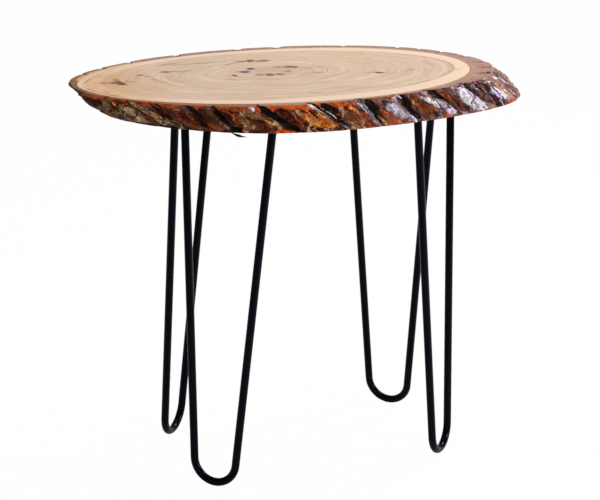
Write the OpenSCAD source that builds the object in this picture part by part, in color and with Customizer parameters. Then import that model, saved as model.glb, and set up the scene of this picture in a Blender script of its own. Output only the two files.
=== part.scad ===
// Side table: an oblique slice of a log with its bark on, standing on four two-rod hairpin legs.
// Origin: middle of the whole table on the floor. +X runs along the slab, +Z is up.

/* [Slab] */
// Length of the slice over the bark's top edge
slab_length = 527; // [480:1:600]
// Width of the slice over the bark's top edge
slab_width = 294; // [280:2:340]
// Thickness of the slice
slab_thick = 36; // [28:1:50]
// Lean of the log's axis away from upright, from the oblique cut
log_lean = 50; // [35:1:54]
// Direction in plan in which the lower face lies, from the length
log_turn = 10; // [-20:1:20]
// Waviness of the outline
outline_wave = 4; // [0:0.5:6]
// Waviness of the wood's edge, which makes its right end blunt
wood_wave = 2.1; // [0:0.1:3]
// How far the wood's left end runs out to a point
wood_tip = 3.5; // [0:0.5:4]

/* [Bark] */
// Width of the bark's cut face at the slice's front and back
bark_side = 9.5; // [8.5:0.5:16]
// Width of the bark's cut face at the slice's two ends
bark_end = 18.5; // [16:0.5:30]
// How far the wood lies to the left in the bark, which is thicker at the right
wood_shift_x = 6.5; // [0:0.5:8]
// How far the wood lies to the front in the bark
wood_shift_y = 0.5; // [0:0.5:2]
// How far the ridges of bark stand out
ridge_rise = 6.5; // [2:0.5:9]
// Height of the lumps on the ridges
lump_rise = 1.2; // [0:0.1:2]
// Depth of the fissures between the ridges, as a share of the bark's width at the sides
fissure_share = 0.22; // [0.1:0.01:0.35]
// Half of the width of a fissure's floor
fissure_half = 1.7; // [0.5:0.1:3]
// Width of the slope that climbs to a ridge on its left
bank_width = 5; // [2:0.5:8]
// Width of the steep drop on a ridge's right
lip_width = 1.4; // [0.8:0.1:3]
// How far round the rim a fissure strays between the two faces, in degrees
fissure_stray = 1.5; // [0:0.1:2]
// How far a fissure winds to either side, in degrees
fissure_winding = 0.35; // [0:0.05:0.5]

/* [Legs] */
// Height from the floor to the slab's underside, with the plate
leg_height = 457; // [380:1:560]
// Diameter of the round bar
rod_d = 9.8; // [8:0.1:12]
// Distance between a leg's two rods at the plate
rod_spacing = 116; // [100:1:120]
// Radius of the bend at the foot, to the bar's middle
bend_r = 28.5; // [18:0.5:40]
// How far each foot stands outside its plate
splay = 29; // [10:1:45]
// Distance from the slab's end to the middle of the rods' tops, along the slab
inset_x = 130.5; // [115:0.5:170]
// Share of the slab's width between the rods' tops at the front and at the back
stance_share = 0.4354; // [0.41:0.001:0.46]
// How far the group of legs lies to the left of the underside's middle
legs_shift = 4.5; // [0:0.5:12]
// Direction in which each leg splays, from the slab's length
corner_turn = 42.5; // [35:0.5:55]

/* [Plates] */
// Thickness of the plate
plate_thick = 4; // [3:0.5:6]
// Depth of the plate, from its outer edge inwards
plate_depth = 52; // [44:1:60]
// Width of the plate's inner edge
plate_inner = 68; // [56:1:90]
// Edge of the plate beyond the rods' middle lines
plate_rim = 7; // [6:0.5:8]
// Radius of the plate's corners
plate_round = 6; // [3:0.5:6]
// Leg length of the weld round each rod
weld_size = 4; // [2:0.5:5]

/* [Screws] */
// Diameter of the screws' shank
screw_d = 4.2; // [3:0.1:5]
// Diameter of the screws' head
screw_head_d = 8.6; // [7:0.1:10]
// Height of the screws' head
screw_head_h = 2.8; // [2:0.1:4]
// Length of the screws below the head
screw_length = 20; // [14:1:24]
// Span of the cross recess in a screw's head
recess_span = 4.6; // [3:0.1:5]
// Width of the recess's arms
recess_arm = 1.1; // [0.6:0.1:1.6]
// Depth of the recess
recess_depth = 1.6; // [0.8:0.1:1.9]
// Clearance round a screw in the plate's hole, on the diameter
hole_clearance = 0.8; // [0.4:0.1:1.5]
// Clearance round a screw in its pilot hole, on the diameter
pilot_clearance = 0.1; // [0.05:0.05:0.3]

/* [Hidden] */
// Angles round the rim, from the right end, at which a fissure splits the bark
FISSURES = [-172, -161, -150, -140, -129.5, -122.5, -108.5, -95, -84, -72.5, -59, -46, -26, -13,
    -1, 12, 24, 36, 45, 60, 80, 94, 112, 128, 142, 155, 167, 178];
// Corners, as the signs of X and Y, and each leg's own turn from its corner's direction
CORNERS = [
    ["back_left", -1, 1, 2],
    ["front_left", -1, -1, 0.5],
    ["back_right", 1, 1, -0.7],
    ["front_right", 1, -1, -3.2]
];

// Points on each ridge: along the rim outside, and along the wood's edge inside
rim_steps = 16;
wood_steps = 4;
ridges = len(FISSURES);
rim_count = ridges * rim_steps;
wood_count = ridges * wood_steps;
// Heights at which the rim's outline is drawn, as shares of the thickness
LEVELS = [0, 0.08, 0.2, 0.34, 0.48, 0.62, 0.75, 0.85, 0.92, 1];
// The smooth strip of inner bark under the top edge begins at this share of the thickness, at the
// middle of a ridge, and lower by its droop at the ridge's ends
strip_foot = 0.9;
strip_droop = 0.03;
// Skew of a ridge's crest to the right, how full its round is, and the share of the rise at its ends
crest_skew = 1.6;
crest_full = 0.6;
crest_base = 0.2;
// Share of the round from foot to strip that is cut off by the lower face
belly_start = 0.06;
// Share of the rise and of the fissures' depth that is left at the lower face, and the share of the
// thickness by which they are whole
foot_share = 0.3;
foot_top = 0.3;
// Shares by which a fissure narrows towards the lower and the upper face, where the upper narrowing
// starts, and how much less it is at the back
narrow_low = 0.4;
narrow_high = 0.6;
narrow_start = 0.7;
narrow_back = 0.8;
// Share by which one fissure is wider or narrower than another
fissure_vary = 0.6;
// Shares by which fissures are shallower away from the heavy side, and deeper at the back
light_side = 0.3;
deep_back = 2.2;
// Share by which one ridge is lower than another
ridge_vary = 0.15;
// Direction round the rim of the heaviest ridges
heavy_side = -35;
// Shares of the ridges' rise that reach the faces on the heavy side and at the back
heavy_share = 0.55;
back_share = 0.45;
// Direction and sharpness of the point at the wood's left end
tip_side = 176;
tip_sharpness = 60;
// Turns of the waves along a fissure, and along and up a ridge
winding_turn = 315;
lump_turns = [540, 260, 430];
// Turn from one ridge to the next of the waves that make no two alike
ridge_phase = 137;
stray_phase = 97;
width_phase = 132;

// The lower face lies this far from the upper one
face_shift = slab_thick * tan(log_lean) * [cos(log_turn), sin(log_turn)];

// Outline of the slice and of its wood, as shares of their ellipses, at an angle round the rim
function rim_swell(a) = 1 - outline_wave / slab_length * (2 * sin(4 * a) + 1.3 * cos(5 * a));
function wood_swell(a) = 1 - 2 * wood_wave / slab_length * (1.5 * cos(3 * a) - sin(3 * a))
    + 2 * wood_tip / slab_length * pow(max(cos(a - tip_side), 0), tip_sharpness);
function outward(a) = let (n = [cos(a) / slab_length, sin(a) / slab_width]) n / norm(n);
// Length of rim for each degree
function rim_speed(a) = PI / 180 * norm([slab_length / 2 * sin(a), slab_width / 2 * cos(a)]);
// Place of a level of the slice, on the leaning axis of the log, with the middle at mid-height
function level_shift(v) = face_shift * (0.5 - v);

// 0 below low, 1 above high and smooth between them
function ease(x, low, high) = let (t = min(max((x - low) / (high - low), 0), 1)) t * t * (3 - 2 * t);
function phase(i, turn) = (i + ridges) % ridges * turn;
// Angle round the rim of the fissure before ridge i, which strays and winds over the height
function fissure(i, v) = let (wave = winding_turn * v + phase(i, ridge_phase))
    FISSURES[(i + ridges) % ridges] + 360 * floor((i + 0.5) / ridges)
    + fissure_stray * sin(phase(i, stray_phase)) * (2 * v - 1)
    + fissure_winding * (sin(wave) + 0.6 * sin(2 * wave));
// Share of the way along a ridge, with the steps closer at the fissures
function eased(s) = s - 0.1 * sin(360 * s);
function heaviness(a) = heavy_share * max(cos(a - heavy_side), 0);
function back(a) = max(sin(a), 0);
function half_width(i, a, v) = fissure_half * (1 + fissure_vary * sin(phase(i, width_phase)))
    * (1 - narrow_low * (1 - ease(v, 0, foot_top)))
    * (1 - narrow_high * ease(v, narrow_start, 1) * (1 - heaviness(a)) * (1 - narrow_back * back(a)));
function foot_part(v) = foot_share + (1 - foot_share) * ease(v, 0, foot_top);
// How much of the ridges' rise is there at a place, and how deep the fissures are
function rise_at(a, along, v) = let (
        tongue = strip_foot - strip_droop * pow(2 * along - 1, 2),
        belly = min(belly_start + (1 - belly_start) * v / tongue, 1),
        h = max(heaviness(a), back_share * back(a))
    ) foot_part(v) * (h + (1 - h) * pow(max(sin(180 * belly), 0), crest_full));
function ridge_size(i) = 1 - ridge_vary * (1 - sin(phase(i, ridge_phase)));
function depth_at(a, v) = foot_part(v) * fissure_share * bark_side
    * (1 - light_side * (1 - cos(a - heavy_side))) * (1 + deep_back * back(a));
// How far the bark stands out of the slice's outline at share along of ridge i
function relief(i, along, a, v) = let (
        before = (a - fissure(i, v)) * rim_speed(a) - half_width(i, a, v),
        after = (fissure(i + 1, v) - a) * rim_speed(a) - half_width(i + 1, a, v),
        slope = ease(before, 0, bank_width),
        wall = ease(before, 0, bank_width / 2) * ease(after, 0, lip_width),
        crest = crest_base + (1 - crest_base) * pow(sin(180 * pow(along, crest_skew)), crest_full),
        lump = sin(lump_turns[0] * along + lump_turns[1] * v + phase(i, ridge_phase))
            * sin(lump_turns[2] * v + phase(i, stray_phase))
    ) wall * slope * rise_at(a, along, v) * (ridge_rise * ridge_size(i) * crest + lump_rise * lump)
        - (1 - wall) * depth_at(a, v);
function rim_point(i, s, v) = let (
        along = eased(s),
        a = fissure(i, v) + (fissure(i + 1, v) - fissure(i, v)) * along,
        edge = rim_swell(a) * [slab_length / 2 * cos(a), slab_width / 2 * sin(a)],
        p = edge + outward(a) * relief(i, along, a, v) + level_shift(v)
    ) [p[0], p[1], leg_height + slab_thick * v];
// Angle of point k on the wood's edge
function wood_angle(k) = let (
        i = floor(k / wood_steps),
        s = (k % wood_steps) / wood_steps
    ) fissure(i, 0.5) + (fissure(i + 1, 0.5) - fissure(i, 0.5)) * s;
function wood_point(k, v) = let (
        a = wood_angle(k),
        edge = wood_swell(a) * [(slab_length / 2 - bark_end) * cos(a), (slab_width / 2 - bark_side) * sin(a)],
        p = edge - [wood_shift_x, wood_shift_y] + level_shift(v)
    ) [p[0], p[1], leg_height + slab_thick * v];

RIM = [for (v = LEVELS) [for (k = [0:rim_count - 1])
    rim_point(floor(k / rim_steps), (k % rim_steps) / rim_steps, v)]];
WOOD = [for (v = [0, 1]) [for (k = [0:wood_count - 1]) wood_point(k, v)]];

// Middle of the slice in plan, which is the middle of the whole table
rim_x = [for (ring = RIM) each [for (p = ring) p[0]]];
rim_y = [for (ring = RIM) each [for (p = ring) p[1]]];
middle = [(min(rim_x) + max(rim_x)) / 2, (min(rim_y) + max(rim_y)) / 2, 0];

// Legs: the rods' tops, the lean of a leg's plane and the bend at its foot
leg_middle = level_shift(0) - [legs_shift, 0];
rod_top = leg_height - plate_thick;
// The bar is drawn a little thinner in its bend, and the straight rods lap over it
bend_d = rod_d - 0.04;
bend_lap = 0.4;
foot_z = bend_d / 2;
leg_tilt = atan(splay / (rod_top - foot_z));
leg_slant = (rod_top - foot_z) / cos(leg_tilt);
bend_far = norm([rod_spacing / 2, leg_slant - bend_r]);
bend_start = atan((leg_slant - bend_r) / (rod_spacing / 2)) - acos(bend_r / bend_far);
bend_point = bend_r * [cos(bend_start), sin(bend_start)] + [0, bend_r];
rod_line = [rod_spacing / 2, leg_slant] - bend_point;
rod_turn = atan(rod_line[0] / rod_line[1]);
// The rods run this far into the plate's thickness before they are cut flush with its underside
rod_spare = 2;
// Thickness of a weld's lower lip
weld_lip = 1;

// Screws: places on the plate, as [along the rods' line, inwards]
plate_outer = rod_spacing + 2 * plate_rim;
hole_edge = 9;
outer_holes = rod_spacing / 2 - rod_d / 2 - weld_size - hole_edge;
inner_holes = plate_inner / 2 - hole_edge - weld_lip;
HOLES = [[-outer_holes, plate_rim - hole_edge], [outer_holes, plate_rim - hole_edge],
    [-inner_holes, plate_rim + hole_edge - plate_depth],
    [inner_holes, plate_rim + hole_edge - plate_depth]];
hole_d = screw_d + hole_clearance;
pilot_d = screw_d + pilot_clearance;
// Spare depth of a pilot hole past the screw's tip
pilot_spare = 1;
// A cut starts this far outside the face that it opens
cut_spare = 1;
// Diameter of a screw head's flat, as a share of the head's
head_flat = 0.7;
screw_reach = screw_length - plate_thick;
// Sides drawn for the round bar, the bend and the screws
rod_sides = 48;
small_sides = 32;
// Steps in a plate's rounded corner
corner_steps = 6;

// A ring of faces between two rows of points of one length, facing outwards
function band(low, high, count) = [for (k = [0:count - 1]) let (n = (k + 1) % count)
    each [[low + k, high + k, high + n], [low + k, high + n, low + n]]];
// The flat face between the rim's points and the wood's, ridge by ridge
function collar(rim, wood) = [for (k = [0:wood_count - 1]) let (
        fan = rim_steps / wood_steps,
        n = (k + 1) % wood_count,
        last = ((k + 1) * fan) % rim_count
    ) each concat(
        [for (j = [0:fan - 1]) [wood + k, rim + k * fan + j, rim + (k * fan + j + 1) % rim_count]],
        [[wood + k, rim + last, wood + n]])];
function flipped(faces) = [for (f = faces) [f[2], f[1], f[0]]];

module slab_place() {
    translate(-middle) children();
}

// A leg's own frame: X along the rods' line, Y outwards, Z up from the floor
module leg_place(corner) {
    along = slab_length / 2 - inset_x;
    across = slab_width * stance_share / 2;
    facing = atan2(corner[2] * sin(corner_turn), corner[1] * cos(corner_turn)) + corner[3];
    translate([leg_middle[0] + corner[1] * along, leg_middle[1] + corner[2] * across, 0] - middle)
        rotate([0, 0, facing - 90])
            children();
}

// The slanting plane of a leg's rods, with its own X along the rods' line and Y up the leg
module leg_plane() {
    translate([0, splay, foot_z])
        rotate([90 + leg_tilt, 0, 0])
            children();
}

module wood_slab() {
    color("burlywood") difference() {
        slab_place()
            polyhedron(
                points = concat(WOOD[0], WOOD[1]),
                faces = concat(
                    [[for (k = [0:wood_count - 1]) k]],
                    [for (k = [0:wood_count - 1]) let (n = (k + 1) % wood_count)
                        [k, k + wood_count, n + wood_count, n]],
                    [[for (k = [wood_count - 1:-1:0]) k + wood_count]]),
                convexity = 2);
        for (corner = CORNERS)
            leg_place(corner) screw_holes(leg_height - cut_spare, screw_reach + pilot_spare + cut_spare, pilot_d);
    }
}

module bark() {
    top = len(LEVELS) - 1;
    wood = len(LEVELS) * rim_count;
    color("saddlebrown") slab_place()
        polyhedron(
            points = [for (ring = RIM) each ring, for (ring = WOOD) each ring],
            faces = concat(
                [for (l = [0:top - 1]) each band(l * rim_count, (l + 1) * rim_count, rim_count)],
                flipped(band(wood, wood + wood_count, wood_count)),
                collar(0, wood),
                flipped(collar(top * rim_count, wood + wood_count))),
            convexity = 8);
}

module rod_arm() {
    translate(bend_point)
        rotate([-90, 0, -rod_turn])
            translate([0, 0, -bend_lap])
                cylinder(h = bend_lap + norm(rod_line) + rod_spare, d = rod_d, $fn = rod_sides);
}

module leg_rod(corner) {
    color("black") leg_place(corner) intersection() {
        leg_plane() {
            rod_arm();
            mirror([1, 0, 0]) rod_arm();
            translate([0, bend_r, 0])
                rotate([0, 0, 180 - bend_start])
                    rotate_extrude(angle = 180 + 2 * bend_start, $fn = 2 * rod_sides)
                        translate([bend_r, 0]) circle(d = bend_d, $fn = rod_sides);
        }
        translate([-rod_spacing, -rod_spacing, -rod_d])
            cube([2 * rod_spacing, 2 * rod_spacing, rod_top + rod_d]);
    }
}

// Direction in which the side from one corner to the next faces, for corners in anticlockwise order
function side_facing(a, b) = atan2(a[0] - b[0], b[1] - a[1]);
// Points of a flat outline with rounded corners, from the corners' centres in anticlockwise order
function rounded_outline(centres, r) = [for (i = [0:len(centres) - 1]) let (
        count = len(centres),
        c = centres[i],
        from = side_facing(centres[(i + count - 1) % count], c),
        turn = (side_facing(c, centres[(i + 1) % count]) - from + 360) % 360
    ) each [for (j = [0:corner_steps]) let (a = from + turn * j / corner_steps)
        c + r * [cos(a), sin(a)]]];

module screw_holes(z, depth, d) {
    for (h = HOLES)
        translate([h[0], h[1], z]) cylinder(h = depth, d = d, $fn = small_sides);
}

module leg_plate(corner) {
    out_x = plate_outer / 2 - plate_round;
    in_x = plate_inner / 2 - plate_round;
    out_y = plate_rim - plate_round;
    in_y = plate_rim - plate_depth + plate_round;
    color("dimgray") leg_place(corner) difference() {
        translate([0, 0, rod_top])
            linear_extrude(plate_thick)
                polygon(rounded_outline(
                    [[-in_x, in_y], [in_x, in_y], [out_x, out_y], [-out_x, out_y]], plate_round));
        screw_holes(rod_top - cut_spare, plate_thick + 2 * cut_spare, hole_d);
    }
}

module leg_welds(corner) {
    color("dimgray") leg_place(corner) difference() {
        for (x = [-rod_spacing / 2, rod_spacing / 2])
            translate([x, 0, rod_top - weld_size])
                cylinder(h = weld_size, r1 = rod_d / 2 + weld_lip, r2 = rod_d / 2 + weld_size - weld_lip,
                    $fn = rod_sides);
        leg_plane() {
            rod_arm();
            mirror([1, 0, 0]) rod_arm();
        }
    }
}

module leg_screws(corner) {
    color("silver") leg_place(corner)
        for (h = HOLES) translate([h[0], h[1], rod_top]) difference() {
            union() {
                cylinder(h = screw_length, d = screw_d, $fn = small_sides);
                translate([0, 0, -screw_head_h])
                    cylinder(h = screw_head_h, d1 = head_flat * screw_head_d, d2 = screw_head_d,
                        $fn = small_sides);
            }
            for (turn = [0, 90])
                rotate([0, 0, turn])
                    translate([-recess_span / 2, -recess_arm / 2, -screw_head_h - cut_spare])
                        cube([recess_span, recess_arm, recess_depth + cut_spare]);
        }
}

wood_slab();
bark();
leg_rod(CORNERS[0]);  // leg_rod_back_left
leg_rod(CORNERS[1]);  // leg_rod_front_left
leg_rod(CORNERS[2]);  // leg_rod_back_right
leg_rod(CORNERS[3]);  // leg_rod_front_right
leg_plate(CORNERS[0]);  // leg_plate_back_left
leg_plate(CORNERS[1]);  // leg_plate_front_left
leg_plate(CORNERS[2]);  // leg_plate_back_right
leg_plate(CORNERS[3]);  // leg_plate_front_right
leg_welds(CORNERS[0]);  // leg_welds_back_left
leg_welds(CORNERS[1]);  // leg_welds_front_left
leg_welds(CORNERS[2]);  // leg_welds_back_right
leg_welds(CORNERS[3]);  // leg_welds_front_right
leg_screws(CORNERS[0]);  // leg_screws_back_left
leg_screws(CORNERS[1]);  // leg_screws_front_left
leg_screws(CORNERS[2]);  // leg_screws_back_right
leg_screws(CORNERS[3]);  // leg_screws_front_right
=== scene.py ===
"""Dresses the packed side table: bark, wood, coated steel, screws, stage and camera."""

import math
from typing import NamedTuple

import bmesh
import bpy
import numpy as np
from bpy.props import FloatProperty, FloatVectorProperty, IntProperty, PointerProperty
from mathutils import Matrix, Vector, noise


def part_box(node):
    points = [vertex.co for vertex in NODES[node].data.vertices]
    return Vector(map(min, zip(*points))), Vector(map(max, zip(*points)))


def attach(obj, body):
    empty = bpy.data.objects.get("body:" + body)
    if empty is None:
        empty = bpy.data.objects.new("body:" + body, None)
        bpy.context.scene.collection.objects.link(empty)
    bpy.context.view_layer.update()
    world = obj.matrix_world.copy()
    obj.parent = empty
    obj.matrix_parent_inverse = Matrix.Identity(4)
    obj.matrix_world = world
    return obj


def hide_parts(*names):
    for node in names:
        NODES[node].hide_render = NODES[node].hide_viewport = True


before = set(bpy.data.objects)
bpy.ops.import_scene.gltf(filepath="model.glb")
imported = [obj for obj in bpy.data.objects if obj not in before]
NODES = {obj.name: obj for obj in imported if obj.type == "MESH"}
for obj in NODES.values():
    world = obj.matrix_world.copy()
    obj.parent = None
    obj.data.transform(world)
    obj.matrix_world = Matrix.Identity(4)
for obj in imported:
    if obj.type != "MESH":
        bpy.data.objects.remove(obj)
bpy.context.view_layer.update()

bl_info = {
    "name": "Live-edge Side Table",
    "version": (1, 0, 0),
    "blender": (4, 5, 0),
    "location": "3D View > Sidebar > Side Table",
    "description": "Dresses a log-slice side table on hairpin legs",
    "category": "Object",
}

MM = 0.001
CORNERS = ("back_left", "front_left", "back_right", "front_right")
SLAB_LOW, SLAB_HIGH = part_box("bark")

# Size of the photo in pixels
PHOTO_WIDE = 600
PHOTO_HIGH = 500

# The camera that took the photo: its place in metres, its turn from the +Y direction, how far it
# looks down and its roll in degrees, and its focal length and sensor in millimetres
CAMERA_PLACE = (-0.7911, -1.9807, 0.9811)
CAMERA_TURN = 21.861
CAMERA_TIP = 18.54
CAMERA_ROLL = 1.2785
LENS = 107.94
SENSOR = 36.0

# Angles round the rim, from the right end, at which a fissure splits the bark
FISSURES = (-172, -161, -150, -140, -129.5, -122.5, -108.5, -95, -84, -72.5, -59, -46, -26, -13,
            -1, 12, 24, 36, 45, 60, 80, 94, 112, 128, 142, 155, 167, 178)

# Share of each ridge, from its right end, that keeps its weathered outer skin
SKIN_SHARES = (0.3, 0.2, 0.2, 0.1, 0.1, 0.1, 0.05, 0.1, 0.2, 0.2, 0.3, 0.4, 0.5, 0.5,
               0.4, 0.6, 0.7, 0.5, 0.4, 0.6, 0.5, 0.3, 0.6, 0.4, 0.7, 0.5, 0.6, 0.6)

# How pale and wide the edge along each ridge's right end is: weathered bark, painted paler as the
# highlight where the edge catches the light
LIP_HIGHLIGHTS = (0.1, 0.1, 0.1, 0.1, 0.1, 0.1, 0.3, 0.4, 0.4, 0.3, 0.3, 0.2, 0.1, 0.1,
        0.4, 0.2, 0.6, 0.3, 0.5, 0.2, 0.6, 0.3, 0.4, 0.5, 0.2, 0.4, 0.2, 0.1)

# Sides of the rim that have their own colours: direction in degrees, and the cosines of the angle
# away from it at which a side begins and at which it is whole
SIDES = {
    "right": (-35, 0.5, 0.72),
    "left": (-150, 0.78, 0.97),
    "leftward": (-165, 0.2, 0.9),
    "end": (-5, 0.8, 0.97),
    "thin": (146, 0.9, 0.975),
    "tip": (180, 0.975, 0.995),
}

# Where the bark glows amber: direction and half width in degrees round the rim, and strength
AMBER_PLACES = ((-88, 7, 0.5), (-67, 6, 0.3), (-102, 5, 0.3), (-133, 6, 0.3), (-50, 5, 0.2))


class Patch(NamedTuple):
    """A patch on the side of the bark: its ridge, and how far along and up the ridge it lies, as
    shares; its half sizes along and up in millimetres and its turn in degrees; how far it stands
    out in millimetres; its colour, and how pitted it is"""

    ridge: int
    along: float
    height: float
    half_long: float
    half_high: float
    turn: float
    rise: float
    tone: str
    pitted: float


# Patches of the near-black fissure colour carry the fissures' dark over the ridges' ends: dark floor
# and painted shade. The pale patches on the right are bloom with a painted highlight
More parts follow.
